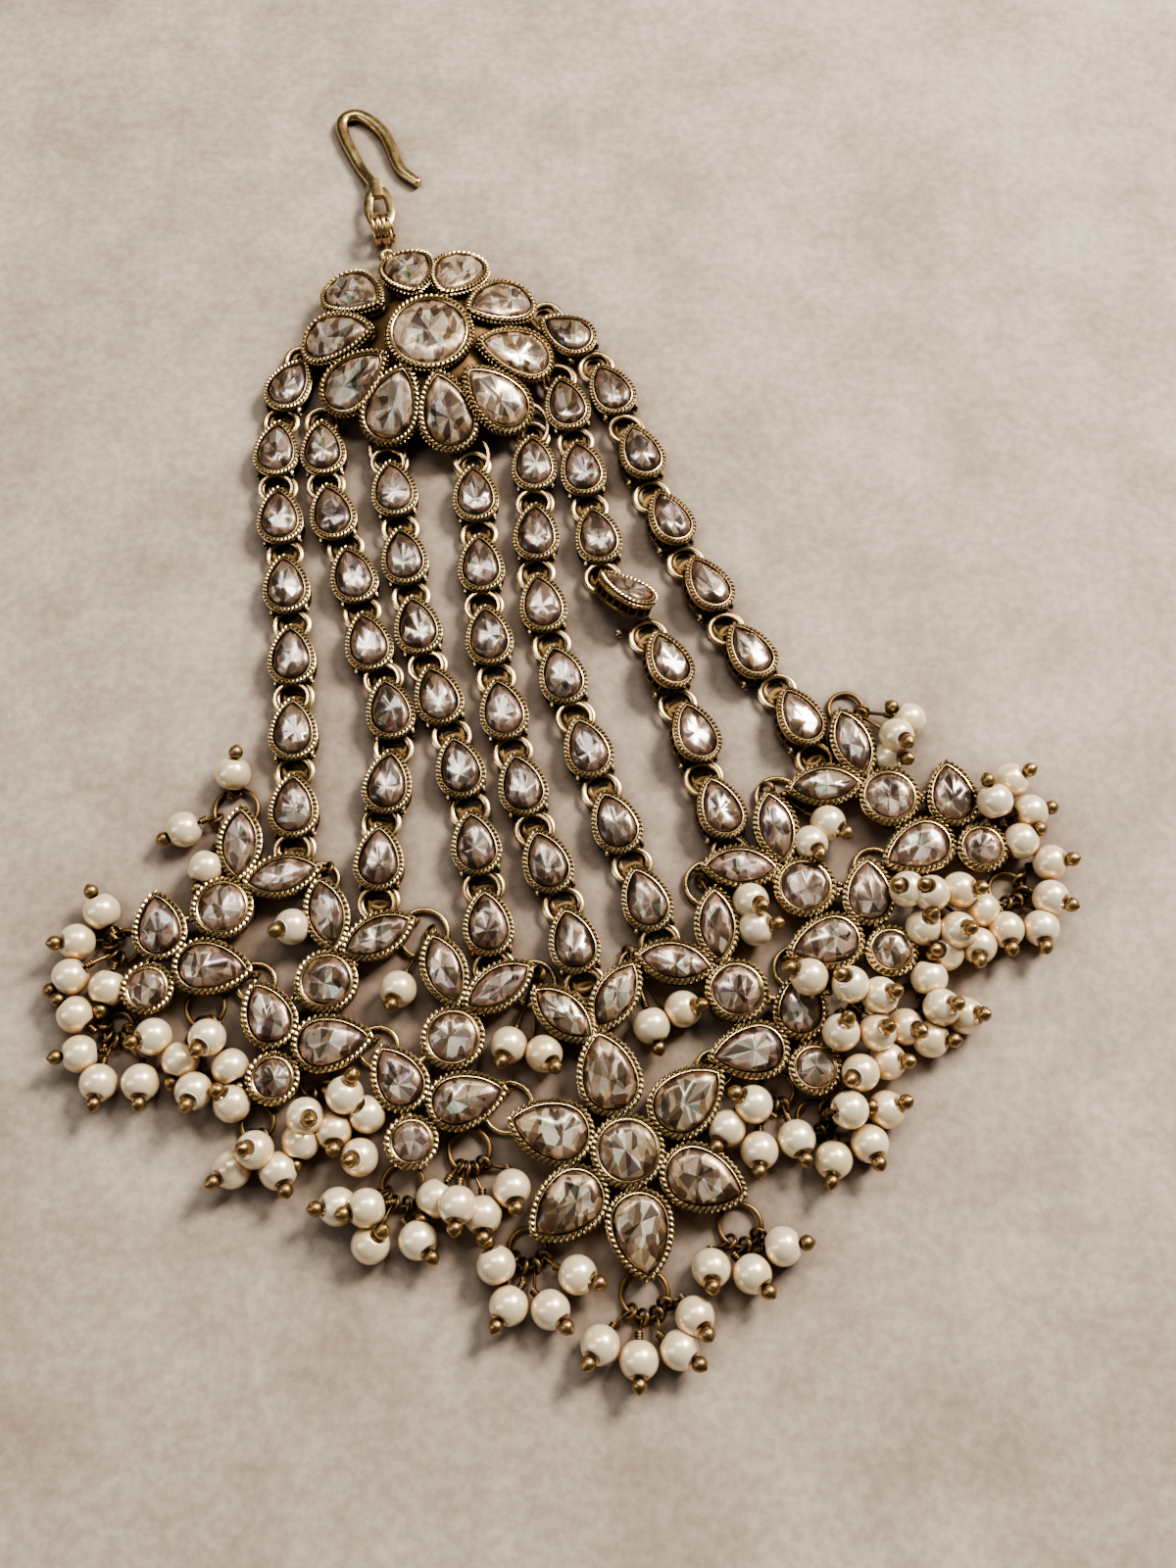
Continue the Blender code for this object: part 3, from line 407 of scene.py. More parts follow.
def at(x, y, z=0.0, bearing=0.0, roll=0.0, pitch=0.0):
    """Matrix that leans a part about its own length and width, turns it to a bearing and moves it."""
    turn = Matrix.Rotation(math.radians(bearing), 4, "Z")
    lean = Matrix.Rotation(math.radians(pitch), 4, "Y") @ Matrix.Rotation(math.radians(roll), 4, "X")
    return Matrix.Translation((x, y, z)) @ turn @ lean


def heading(bearing):
    """Level unit vector along a bearing."""
    turn = math.radians(bearing)
    return Vector((math.cos(turn), math.sin(turn), 0))


def left_of(forward):
    return Vector((-forward.y, forward.x, 0))


def rise(height):
    return Vector((0, 0, height))


def flank(reach, half, tip, inset):
    """Points of an outline's upper half from its tip at +X back to its widest point, above x = 0."""
    middle = reach - tip
    radius = (middle * middle + half * half - tip * tip) / (2 * (half - tip))
    drop = radius - half
    points = []
    start = math.asin(drop / (radius - inset))
    if tip - inset > LEAST_TIP:
        start = math.atan2(drop, middle)
        for i in range(TIP_STEPS):
            turn = start * i / TIP_STEPS
            points.append((middle + (tip - inset) * math.cos(turn), (tip - inset) * math.sin(turn)))
    for i in range(FLANK_STEPS + 1):
        turn = start + (math.pi / 2 - start) * i / FLANK_STEPS
        points.append(((radius - inset) * math.cos(turn), (radius - inset) * math.sin(turn) - drop))
    return points


def tipped_line(kind, length, width, inset):
    """Dense outline of a pear or marquise with a tip at +X."""
    half = width / 2
    if kind == "marquise":
        upper = flank(length / 2, half, TIP_ROUNDING[kind] * half, inset)
        top = upper + [(-x, y) for x, y in reversed(upper[:-1])]
        return np.array(top + [(x, -y) for x, y in reversed(top[1:-1])])
    upper = flank(length - half, half, TIP_ROUNDING[kind] * half, inset)
    back = []
    for i in range(1, BACK_STEPS):
        turn = math.pi / 2 + math.pi * i / BACK_STEPS
        back.append(((half - inset) * math.cos(turn), (half - inset) * math.sin(turn)))
    points = upper + back + [(x, -y) for x, y in reversed(upper[1:])]
    return np.array(points) + np.array((half - length / 2, 0.0))


def resampled(line, count):
    """Points at equal steps round a closed line, from its first point."""
    closed = np.concatenate([line, line[:1]])
    steps = np.linalg.norm(np.diff(closed, axis=0), axis=1)
    walked = np.concatenate([[0.0], np.cumsum(steps)])
    wanted = np.arange(count) / count * walked[-1]
    return np.stack([np.interp(wanted, walked, closed[:, k]) for k in (0, 1)], axis=1)


def outline(kind, length, width, count, inset=0.0):
    """Closed outline of a stone or setting, moved inwards. Matching points keep their order."""
    if kind == "round":
        turns = np.arange(count) / count * 2 * math.pi
        radius = length / 2 - inset
        return np.stack([radius * np.cos(turns), radius * np.sin(turns)], axis=1)
    return resampled(tipped_line(kind, length, width, inset), count)


def directions(line):
    """Angle of a closed line at each of its points."""
    ahead = np.roll(line, -1, axis=0) - np.roll(line, 1, axis=0)
    return np.arctan2(ahead[:, 1], ahead[:, 0])


def raised(flat, z):
    return np.column_stack([flat, np.full(len(flat), z)])


def lofted(loops, capped=False, wrapped=False):
    """Faces between loops of points. Capped closes both ends, wrapped joins the last loop to the first."""
    count = len(loops[0])
    points = [tuple(p) for loop in loops for p in loop]
    faces = []
    for k in range(len(loops) if wrapped else len(loops) - 1):
        m = (k + 1) % len(loops)
        for i in range(count):
            j = (i + 1) % count
            faces.append((k * count + i, k * count + j, m * count + j, m * count + i))
    if capped:
        faces.append(tuple(reversed(range(count))))
        faces.append(tuple(range((len(loops) - 1) * count, len(loops) * count)))
    return template(points, faces)


def swept(path, radius, sides, closed=False, flat=1.0, taper=None):
    """Tube along a path. Flat squeezes its height, and taper gives a factor for each point."""
    path = [Vector(p) for p in path]
    count = len(path)
    turns = [2 * math.pi * (k + 0.5) / sides for k in range(sides)]
    loops = []
    for i, point in enumerate(path):
        before = path[i - 1] if i or closed else point
        after = path[(i + 1) % count] if i < count - 1 or closed else point
        forward = (after - before).normalized()
        up = rise(1) if abs(forward.z) < 0.9 else Vector((0, 1, 0))
        right = forward.cross(up).normalized()
        up = right.cross(forward)
        size = radius * (taper[i] if taper else 1.0)
        loops.append([point + right * math.cos(t) * size + up * math.sin(t) * size * flat for t in turns])
    return lofted(loops, capped=not closed, wrapped=closed)


def ring(centre, radius, wire, across=(1, 0, 0), up=(0, 1, 0), steps=28, sides=8, flat=1.0):
    """Wire bent to a closed ring, or to an oval where across and up aren't unit vectors."""
    centre, across, up = Vector(centre), Vector(across), Vector(up)
    turns = [2 * math.pi * i / steps for i in range(steps)]
    return swept([centre + radius * (math.cos(t) * across + math.sin(t) * up) for t in turns],
                 wire, sides, closed=True, flat=flat)


def turned(profile, sides):
    """Solid of revolution about Z from (radius, z) pairs, closed at both ends."""
    turns = [2 * math.pi * i / sides for i in range(sides)]
    return lofted([[(radius * math.cos(t), radius * math.sin(t), z) for t in turns] for radius, z in profile],
                  capped=True)


BAR = turned([(0.25, -1.0), (0.8, -0.6), (1.0, 0.0), (0.8, 0.6), (0.25, 1.0)], 6)
POST = turned([(POST_WIDTH * 0.62, -0.5), (POST_WIDTH * 0.45, 0.0), (POST_WIDTH * 0.62, 0.5)], 6)


def rope(line, z, pitch, thick, long, slant=ROPE_SLANT):
    """Twisted rope laid on a closed outline: slanted bars side by side."""
    closed = np.concatenate([line, line[:1]])
    length = np.linalg.norm(np.diff(closed, axis=0), axis=1).sum()
    places = resampled(line, max(12, round(length / pitch)))
    size = Matrix.Diagonal((thick, thick, long, 1.0))
    laid = Matrix.Rotation(math.pi / 2, 4, "Y")
    shape = Shape()
    for place, turn in zip(places, directions(places)):
        turned_out = Matrix.Rotation(turn + math.radians(90 - slant), 4, "Z")
        shape.add(BAR, Matrix.Translation((*place, z)) @ turned_out @ laid @ size)
    return shape.part()


SETTINGS = {}


def setting(kind, length, width, depth, ropes=1):
    """Cast setting with an open gallery: its gilt part and its dark part, from z = 0 up to its rim."""
    key = (kind, length, width, depth, ropes)
    if key in SETTINGS:
        return SETTINGS[key]

    def line(inset, count=ROPE_STEPS):
        return outline(kind, length, width, count, inset)

    def band(section, capped=False):
        return lofted([raised(line(inset, WALL_STEPS), z) for inset, z in section], capped)

    gallery_top = max(GALLERY_FLOOR + GALLERY_LEAST, depth - GALLERY_TOP)
    rim = [(inset, depth - drop) for inset, drop in RIM_SECTION]
    bright = Shape()
    bright.add(band([(0.6, gallery_top), (0.2, gallery_top), *rim, (0.6, gallery_top)]))
    bright.add(rope(line(ROPE_INSET), depth - ROPE_DROP, **(LINK_ROPE if kind == "link" else PETAL_ROPE)))
    if kind == "round":
        bright.add(ring((0, 0, depth - INNER_DROP), length / 2 - STONE_INSET - 0.02, THIN_WIRE, steps=48,
                        sides=6))
    bright.add(swept(raised(line(WIRE_INSET, CORE_STEPS), depth - WIRE_DROP), THIN_WIRE, 6, closed=True))
    if ropes > 1:
        bright.add(rope(line(LOWER_INSET), depth - LOWER_DROP, **LOWER_ROPE))
    dark = Shape()
    core = raised(resampled(line(ROPE_INSET), CORE_STEPS), depth - ROPE_DROP - 0.12)
    dark.add(swept(core, CORE_RADIUS, 6, closed=True))
    dark.add(band(FOOT_SECTION, capped=True))
    dark.add(band([(0.72, GALLERY_FLOOR - 0.05), (0.66, gallery_top + 0.05)], capped=True))
    around = line(POST_INSET, round(POST_SHARE * (length + width) / POST_PITCH))
    size = Matrix.Diagonal((1, 1, gallery_top - GALLERY_FLOOR + POST_OVERLAP, 1))
    for place, turn in zip(around, directions(around)):
        spot = Matrix.Translation((*place, (gallery_top + GALLERY_FLOOR) / 2))
        dark.add(POST, spot @ Matrix.Rotation(turn, 4, "Z") @ size)
    SETTINGS[key] = (bright.part(), dark.part())
    return SETTINGS[key]


def share_after(shares, i):
    """Share of the way round at the next corner of a ring, counted on past a full round."""
    return shares[(i + 1) % len(shares)] + (i + 1) // len(shares)


def stone(kind, length, width, depth, number, glow):
    """Cut stone of one setting, sunk in its bezel: a crown of facets round the long ones of its star.

    Each facet's corners carry how far out it lies, the brightness of its painted reflection and the tint of
    its painted glint.
    """
    draw = random.Random(number * 7919 + 13)
    z = depth - STONE_SUNK
    middle = np.array((0.0, 0.0))
    if kind in ("pear", "link"):
        middle = np.array(((width - length) / 2 * 0.7, 0.0))
    wander = HEART_WANDER * length
    middle = middle + np.array((draw.uniform(-wander, wander), draw.uniform(-wander, wander) * 0.7))
    edge_line = outline(kind, length, width, STONE_STEPS, STONE_INSET)
    rings = []
    starts = []
    points = []
    for count, low, high, height in STONE_RINGS:
        shares = sorted((i + draw.uniform(-0.3, 0.3) * (low < 1.0)) / count % 1.0 for i in range(count))
        rings.append(shares)
        starts.append(len(points))
        for share in shares:
            place = middle + (edge_line[int(share * STONE_STEPS)] - middle) * draw.uniform(low, high)
            lift = draw.uniform(-0.09, 0.09) if height > 0 else 0.0
            points.append((place[0], place[1], z + height + lift))
    heart = len(points)
    points.append((middle[0], middle[1], z + HEART_HEIGHT))
    faces = []
    tones = []

    # Random facet brightness and tint are painted reflections and glints
    def facet(corners, radial, bright, glint_tint=0.0):
        faces.append(corners)
        tones.append((radial, bright * glow, glint_tint))

    for level, radial in enumerate(BAND_REACHES):
        outer, inner = rings[level], rings[level + 1]
        i = j = 0
        while i < len(outer) or j < len(inner):
            a = starts[level] + i % len(outer)
            b = starts[level + 1] + j % len(inner)
            tone = draw.uniform(0.1, 0.95) if level else 0.3
            if j >= len(inner) or (i < len(outer) and share_after(outer, i) <= share_after(inner, j)):
                facet((a, starts[level] + (i + 1) % len(outer), b), radial, tone)
                i += 1
            else:
                facet((a, starts[level + 1] + (j + 1) % len(inner), b), radial - 0.1, tone, draw.random())
                j += 1
    star = len(rings[-1])
    for i in range(star):
        tone = draw.choice(STAR_TONES) * draw.uniform(0.85, 1.15)
        facet((starts[-1] + i, starts[-1] + (i + 1) % star, heart), 0.25, tone, draw.random())
    for i in range(1, len(rings[0]) - 1):
        facet((0, i + 1, i), 1.0, 0.2)
    return template(points, faces, tones)


def curve_point(controls, i, t):
    """Point on the smooth curve through the controls, a share of the way from one to the next."""
    last = len(controls) - 1
    a, b, c, d = (Vector(controls[min(max(k, 0), last)]) for k in range(i - 1, i + 3))
    return 0.5 * (2 * b + (c - a) * t + (2 * a - 5 * b + 4 * c - d) * t ** 2
                  + (3 * b - a - 3 * c + d) * t ** 3)


def smooth_line(controls, steps):
    points = [Vector(controls[0])]
    for i in range(len(controls) - 1):
        points.extend(curve_point(controls, i, k / steps) for k in range(1, steps + 1))
    return points


def strand_places(number):
    """Centre and bearing towards the crown of each link."""
    points = smooth_line(STRANDS[number], STRAND_STEPS)
    walked = [0.0]
    for a, b in zip(points, points[1:]):
        walked.append(walked[-1] + (b - a).length)
    first, last = walked[STRAND_STEPS], walked[-1 - STRAND_STEPS]
    places = []
    for i in range(LINKS):
        distance = first + (last - first) * i / (LINKS - 1)
        k = max(n for n in range(len(points) - 1) if walked[n] <= distance)
        a, b = points[k], points[k + 1]
        place = a.lerp(b, (distance - walked[k]) / (walked[k + 1] - walked[k]))
        places.append((place, math.degrees(math.atan2(a.y - b.y, a.x - b.x))))
    return places


def side_motif_cups(name):
    x, y, turn, mirror = SIDE_MOTIFS[name]
    placing = at(x, y, bearing=turn) @ Matrix.Scale(mirror, 4, (1, 0, 0))
    cups = []
    for cup in SIDE_CUPS:
        place = placing @ Vector((cup["x"], cup["y"], 0))
        axis = placing.to_3x3() @ heading(cup["bearing"])
        cups.append(dict(cup, x=place.x, y=place.y, bearing=math.degrees(math.atan2(axis.y, axis.x))))
    return cups


def spot_of(cup, z=0.0):
    return Vector((cup["x"], cup["y"], z))


def centre_cups():
    cups = []
    for bearing in CENTRE_PETAL_BEARINGS:
        place = heading(bearing) * CENTRE_PETAL_REACH
        cups.append(dict(kind="pear", x=place.x, y=place.y, bearing=bearing, length=CENTRE_PETAL_LENGTH,
                         width=CENTRE_PETAL_WIDTH))
    cups.append(dict(kind="round", x=0.0, y=0.0, bearing=0.0, length=CENTRE_ROUND, width=CENTRE_ROUND))
    return [dict(cup, x=CENTRE[0] + cup["x"], y=CENTRE[1] + cup["y"]) for cup in cups + CENTRE_MARQUISES]


def set_inputs(tree, node, **values):
    """Set a node's inputs, named with _ for spaces, to plain values or to what other nodes put out."""
    for name, value in values.items():
        socket = node.inputs[name.replace("_", " ")]
        if isinstance(value, bpy.types.NodeSocket):
            tree.links.new(value, socket)
        else:
            socket.default_value = value


def add_node(tree, kind, **values):
    node = tree.nodes.new("ShaderNode" + kind)
    set_inputs(tree, node, **values)
    return node


def noise(tree, scale, detail=3.0, roughness=0.55):
    """Noise on the object's own coordinates. Scale is the number of features in a metre."""
    place = add_node(tree, "TexCoord").outputs["Object"]
    return add_node(tree, "TexNoise", Vector=place, Scale=scale, Detail=detail,
                    Roughness=roughness).outputs["Fac"]


def ramp(tree, value, *stops):
    """Colours over a value from 0 to 1, each stop a place and its colour."""
    node = add_node(tree, "ValToRGB", Fac=value)
    while len(node.color_ramp.elements) < len(stops):
        node.color_ramp.elements.new(0.5)
    for element, (place, colour) in zip(node.color_ramp.elements, stops):
        element.position = place
        element.color = (*colour, 1.0)
    return node.outputs["Color"]


def occlusion(tree, reach, *stops):
    """Colours over how open a place is to its surroundings within a reach in millimetres."""
    shade = add_node(tree, "AmbientOcclusion", Distance=reach * MM)
    shade.samples = 6
    return ramp(tree, shade.outputs["AO"], *stops)


def multiplied(tree, first, *others):
    """Product of colours, one after the other."""
    for other in others:
        node = tree.nodes.new("ShaderNodeMix")
        node.data_type = "RGBA"
        node.blend_type = "MULTIPLY"
        share, one, two = (node.inputs[i] for i in MIX_INPUTS)
        share.default_value = 1.0
        tree.links.new(first, one)
        tree.links.new(other, two)
        first = node.outputs[MIX_OUTPUT]
    return first


def spread(tree, value, low, high):
    """Map a value from 0 to 1 onto a range."""
    return add_node(tree, "MapRange", Value=value, To_Min=low, To_Max=high).outputs["Result"]


def bump(tree, height, strength, distance):
    """Normals of a fine relief. Distance is its full height in millimetres."""
    return add_node(tree, "Bump", Height=height, Strength=strength, Distance=distance * MM).outputs["Normal"]


def new_material(name):
    made = bpy.data.materials.new(name)
    made.use_nodes = True
    return made, made.node_tree, made.node_tree.nodes["Principled BSDF"]


def gold_material(name, bright, middle, rough, recess=0.26):
    """Antique gold: bright where open and rubbed, brown to black in recesses by patina and painted shade."""
    made, tree, shader = new_material(name)
    # Patina and painted shade: darker in recesses and in the fine creases between rope bars
    patina_and_shade = occlusion(tree, RECESS_REACH, (recess, (0.008, 0.0045, 0.002)), (recess + 0.3, middle),
                       (0.88, bright))
    crease_patina_and_shade = occlusion(tree, LINE_REACH, (0.4, (0.04, 0.025, 0.012)), (0.85, WHITE))
    cloud = ramp(tree, noise(tree, 420.0), (0.3, (0.66, 0.60, 0.52)), (0.7, WHITE))
    set_inputs(tree, shader, Base_Color=multiplied(tree, patina_and_shade, crease_patina_and_shade, cloud), Metallic=1.0,
               Roughness=spread(tree, noise(tree, 900.0), rough - 0.08, rough + 0.16),
               Normal=bump(tree, noise(tree, 3500.0, 2.0), 0.25, 0.03))
    return made


def shards(tree):
    """Painted reflections: brightness of long, flat patches, standing in for the back facets seen through the
    glass.
    """
    place = add_node(tree, "TexCoord").outputs["Object"]
    stretched = add_node(tree, "Mapping", Vector=place, Rotation=(0.0, 0.0, 0.15), Scale=(1.0, 0.42, 1.0))
    patches = add_node(tree, "TexVoronoi", Vector=stretched.outputs["Vector"], Scale=1250.0)
    return add_node(tree, "SeparateColor", Color=patches.outputs["Color"]).outputs["Red"]


def stone_material(name, heart, band):
    """Foil-backed glass with painted reflections. Corner colours hold how far out a facet is, its painted
    reflection's brightness and its glint tint.
    """
    made, tree, shader = new_material(name)
    facets = add_node(tree, "VertexColor")
    facets.layer_name = CUT_LAYER
    split = add_node(tree, "SeparateColor", Color=facets.outputs["Color"])
    far, bright, glint_tint = (split.outputs[part] for part in ("Red", "Green", "Blue"))
    # From a pale heart, partly painted reflection, out to a brown-pink band and a dark edge at the bezel
    body = ramp(tree, far, (0.25, heart), (0.75, band), (0.98, (0.15, 0.07, 0.035)))
    # Painted reflections: each facet dark to white by its brightness
    light = ramp(tree, spread(tree, bright, 0.0, 0.8), (0.0, (0.075, 0.055, 0.045)),
                 (0.5, (0.48, 0.43, 0.38)), (1.0, WHITE))
    # Painted glints: white, cyan, yellow and lavender flashes on some facets
    flash = ramp(tree, glint_tint, (0.80, WHITE), (0.85, (0.55, 0.95, 0.95)), (0.91, (1.0, 0.84, 0.42)),
                 (0.97, (0.74, 0.66, 1.0)))
    # Painted reflections of the back facets, in long flat patches
    patches = ramp(tree, shards(tree), (0.1, (0.17, 0.12, 0.085)), (0.38, (0.52, 0.44, 0.37)), (0.64, WHITE))
    cloudy = ramp(tree, noise(tree, 1500.0), (0.35, (0.80, 0.76, 0.72)), (0.65, WHITE))
    set_inputs(tree, shader, Base_Color=multiplied(tree, body, light, flash, patches, cloudy), Metallic=0.45,
               Roughness=spread(tree, far, 0.1, 0.42), Coat_Weight=spread(tree, far, 1.0, 0.15),
               Coat_Roughness=0.03, Normal=bump(tree, noise(tree, 1300.0, 1.0), 0.3, 0.05))
    return made


def pearl_material():
    """Lustrous pearl, with painted shade, darker and warmer, where its neighbours are near."""
    made, tree, shader = new_material("pearl_lustre")
    body = ramp(tree, noise(tree, 260.0), (0.35, (0.89, 0.67, 0.365)), (0.65, (1.0, 0.85, 0.56)))
    # Painted shade: darker and warmer close to neighbouring pearls and parts
    neighbour_shade = occlusion(tree, PEARL_SHADE_REACH, (0.2, (0.40, 0.26, 0.14)), (0.5, (0.90, 0.78, 0.61)),
                     (0.8, WHITE))
    set_inputs(tree, shader, Base_Color=multiplied(tree, body, neighbour_shade), Metallic=0.42, Coat_Weight=0.9,
               Coat_Roughness=0.09, Roughness=spread(tree, noise(tree, 1200.0), 0.24, 0.36),
               Normal=bump(tree, noise(tree, 2500.0, 2.0), 0.08, 0.02))
    return made


def hole_rim_material():
    """Pale plastic that the lustre leaves bare round a pearl's hole."""
    made, tree, shader = new_material("pearl_hole_rims")
    body = ramp(tree, noise(tree, 1500.0), (0.3, (0.76, 0.66, 0.50)), (0.7, (0.90, 0.83, 0.70)))
    set_inputs(tree, shader, Base_Color=body, Roughness=0.35, Coat_Weight=0.4)
    return made


def floor_material():
    """Mottled pale stone, with painted shadow that darkens it close to what lies on it."""
    made, tree, shader = new_material("pale_floor")
    body = ramp(tree, noise(tree, 60.0, 9.0, 0.75), (0.38, (0.31, 0.23, 0.16)), (0.62, (0.48, 0.385, 0.29)))
    grain = ramp(tree, noise(tree, 900.0, 4.0), (0.4, (0.80, 0.79, 0.78)), (0.6, WHITE))
    # Painted shadow round what lies on the floor
    contact_shadow = occlusion(tree, FLOOR_SHADE_REACH, (0.4, (0.30, 0.22, 0.16)), (0.95, WHITE))
    set_inputs(tree, shader, Base_Color=multiplied(tree, body, grain, contact_shadow), Roughness=0.75)
    return made


GILT = gold_material("gilt_rims", (0.98, 0.69, 0.30), (0.43, 0.255, 0.085), 0.22)
LINK_GILT = gold_material("gilt_links", (0.90, 0.645, 0.30), (0.31, 0.18, 0.06), 0.24, 0.34)
# Darker gilt for walls, loops, hub and pins: partly oxidised metal, partly painted shade under and between
# the settings
DARK = gold_material("gilt_walls_oxide_and_shade", (0.20, 0.115, 0.038), (0.035, 0.018, 0.006), 0.36, 0.38)
WIRE = gold_material("gilt_wire", (0.66, 0.46, 0.185), (0.24, 0.14, 0.05), 0.24)
BALLS = gold_material("gilt_balls", (0.36, 0.225, 0.085), (0.12, 0.07, 0.026), 0.32)
PLATE = gold_material("gilt_plate", (0.17, 0.10, 0.036), (0.05, 0.027, 0.01), 0.46, 0.38)
GLASS = stone_material("cut_stone", (1.0, 0.90, 0.78), (0.60, 0.37, 0.235))
CENTRE_GLASS = stone_material("khaki_stone", (1.0, 0.93, 0.75), (0.62, 0.42, 0.22))
CROWN_GLASS = stone_material("pale_stone", (1.0, 0.92, 0.76), (0.84, 0.60, 0.38))
PEARLS = pearl_material()
HOLE_RIMS = hole_rim_material()


def cups_and_stones(name, cups, glow, floor=0.0):
    """Settings, their darker walls and their stones for a list of cups, as three shapes."""
    bright, walls, stones = Shape(), Shape(), Shape()
    for number, cup in enumerate(cups):
        size = (cup["kind"], cup["length"], cup["width"], cup["depth"])
        place = at(cup["x"], cup["y"], cup.get("z", floor), cup["bearing"], cup.get("roll", 0.0),
                   cup.get("pitch", 0.0))
        rim, wall = setting(*size, cup.get("ropes", 1))
        bright.add(rim, place)
        walls.add(wall, place)
        stones.add(stone(*size, sum(map(ord, name)) * 31 + number, glow), place)
    return bright, walls, stones


def link_rings(bright, walls, tip, out, doubled):
    """Flat jump ring round a link's tip, with the cast loops under it that it passes through."""
    side = left_of(out)
    across = (side + rise(random.uniform(-0.12, 0.12))) * RING_ACROSS
    along = out * RING_ALONG
    bright.add(ring(tip + out * 0.35 + rise(0.95), 1.0, RING_WIRE, across, along, flat=0.8))
    if doubled:
        shifted = tip + out * 0.1 + side * 0.2 + rise(1.45)
        bright.add(ring(shifted, 1.0, RING_WIRE * 0.85, across * 0.94, along * 0.95))
    # The loops go with the dark walls: partly oxidised metal, partly painted shade filling the gap under the
    # ring
    for shift, broad, deep in LINK_LOOPS:
        centre = tip + out * shift + rise(0.42)
        walls.add(ring(centre, 1.0, LINK_LOOP_WIRE, side * broad, out * deep, sides=6, flat=0.7))


def build_strands():
    for number in STRANDS:
        cups = []
        places = strand_places(number)
        for i, (place, bearing) in enumerate(places):
            roll = ROLLS.get((number, i + 1), 0.0)
            lift = LINK_WIDTH / 2 * abs(math.sin(math.radians(roll)))
            cups.append(dict(kind="link", x=place.x, y=place.y, z=lift, roll=roll, depth=LINK_DEPTH,
                             bearing=bearing + TURNS.get((number, i + 1), 0.0),
                             length=LINK_LENGTH, width=LINK_WIDTH))
        bright, walls, stones = cups_and_stones(f"strand_{number}", cups, STRAND_GLOW)
        for i, (place, bearing) in enumerate(places):
            out = heading(bearing)
            tip = place.to_3d() + out * LINK_LENGTH / 2
            link_rings(bright, walls, tip, out, (i + number) % 3 == 0)
            if i == 0 and number in LONG_RING_STRANDS:
                bright.add(ring(tip + out * 1.7 + rise(1.1), 1.0, RING_WIRE, left_of(out) * 1.95, out * 2.7))
            for reach in (-LUG_REACH, LUG_REACH):
                lug = place.to_3d() - out * (LINK_LENGTH / 2 - 0.85) + left_of(out) * reach + rise(0.95)
                bright.add(ring(lug, 0.5, 0.22, out, (0, 0, 1), steps=14, sides=6))
        last, bearing = places[-1]
        out = heading(bearing)
        link_rings(bright, walls, last.to_3d() - out * (LINK_LENGTH / 2 + 1.3), out, True)
        piece(f"links_{number}_rims", bright, LINK_GILT, (f"strand_{number}",), smooth=45)
        piece(f"links_{number}_walls", walls, DARK, smooth=45)
        piece(f"links_{number}_stones", stones, GLASS)


def solder(a, b, z):
    """Small cast bridge between two settings that touch, with beads of solder on it."""
    a, b = Vector((a.x, a.y, z)), Vector((b.x, b.y, z))
    shape = Shape()
    line = [a, a.lerp(b, 0.35), a.lerp(b, 0.65), b]
    shape.add(swept(line, 0.55, 8, flat=0.6, taper=[1.1, 0.85, 0.85, 1.1]))
    side = (b - a).cross(rise(1)).normalized()
    for i in range(SOLDER_BEADS):
        spot = a.lerp(b, random.uniform(0.2, 0.8)) + side * random.uniform(-0.7, 0.7)
        size = random.uniform(0.2, 0.36)
        place = Matrix.Translation(spot + rise(random.uniform(0.1, 0.35)))
        shape.add(BAR, place @ Matrix.Diagonal((size, size, size, 1.0)))
    return shape.part()


def build_motifs():
    for name in SIDE_MOTIFS:
        cups = [dict(cup, depth=MOTIF_DEPTH) for cup in side_motif_cups(name)]
        bright, walls, stones = cups_and_stones(f"motif_{name}", cups, MOTIF_GLOW, MOTIF_FLOOR)
        for i, j in SIDE_BARS:
            a, b = spot_of(cups[i]), spot_of(cups[j])
            bright.add(solder(a.lerp(b, 0.36), a.lerp(b, 0.64), MOTIF_FLOOR + 1.05))
        for cup in cups:
            if cup["kind"] != "round":
                out = heading(cup["bearing"])
                tip = spot_of(cup, EYE_LIFT) + out * (cup["length"] / 2 - 0.3)
                bright.add(ring(tip, 0.62, 0.2, out, (0, 0, 1), 14, 6))
        piece(f"petals_{name}_rims", bright, GILT, (f"motif_{name}",), smooth=45)
        piece(f"petals_{name}_walls", walls, DARK, smooth=45)
        piece(f"petals_{name}_stones", stones, GLASS)


def build_centre():
    cups = [dict(cup, depth=MOTIF_DEPTH) for cup in centre_cups()]
    bright, walls, stones = cups_and_stones("centre", cups, CENTRE_GLOW, MOTIF_FLOOR)
    outer = spot_of(cups[0]) + heading(cups[0]["bearing"]) * 3.2
    for cup in cups[-len(CENTRE_MARQUISES):]:
        inner = spot_of(cup) - heading(cup["bearing"]) * 3.0
        bright.add(solder(inner, outer, MOTIF_FLOOR + 1.0))
    piece("centre_rims", bright, GILT, ("centre_setting",), smooth=45)
    piece("centre_walls", walls, DARK, smooth=45)
    made = piece("centre_stones", stones, CENTRE_GLASS, ("centre_round_stone",))
    for i in range(6):
        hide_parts(f"centre_petal_stone_{i + 1}")


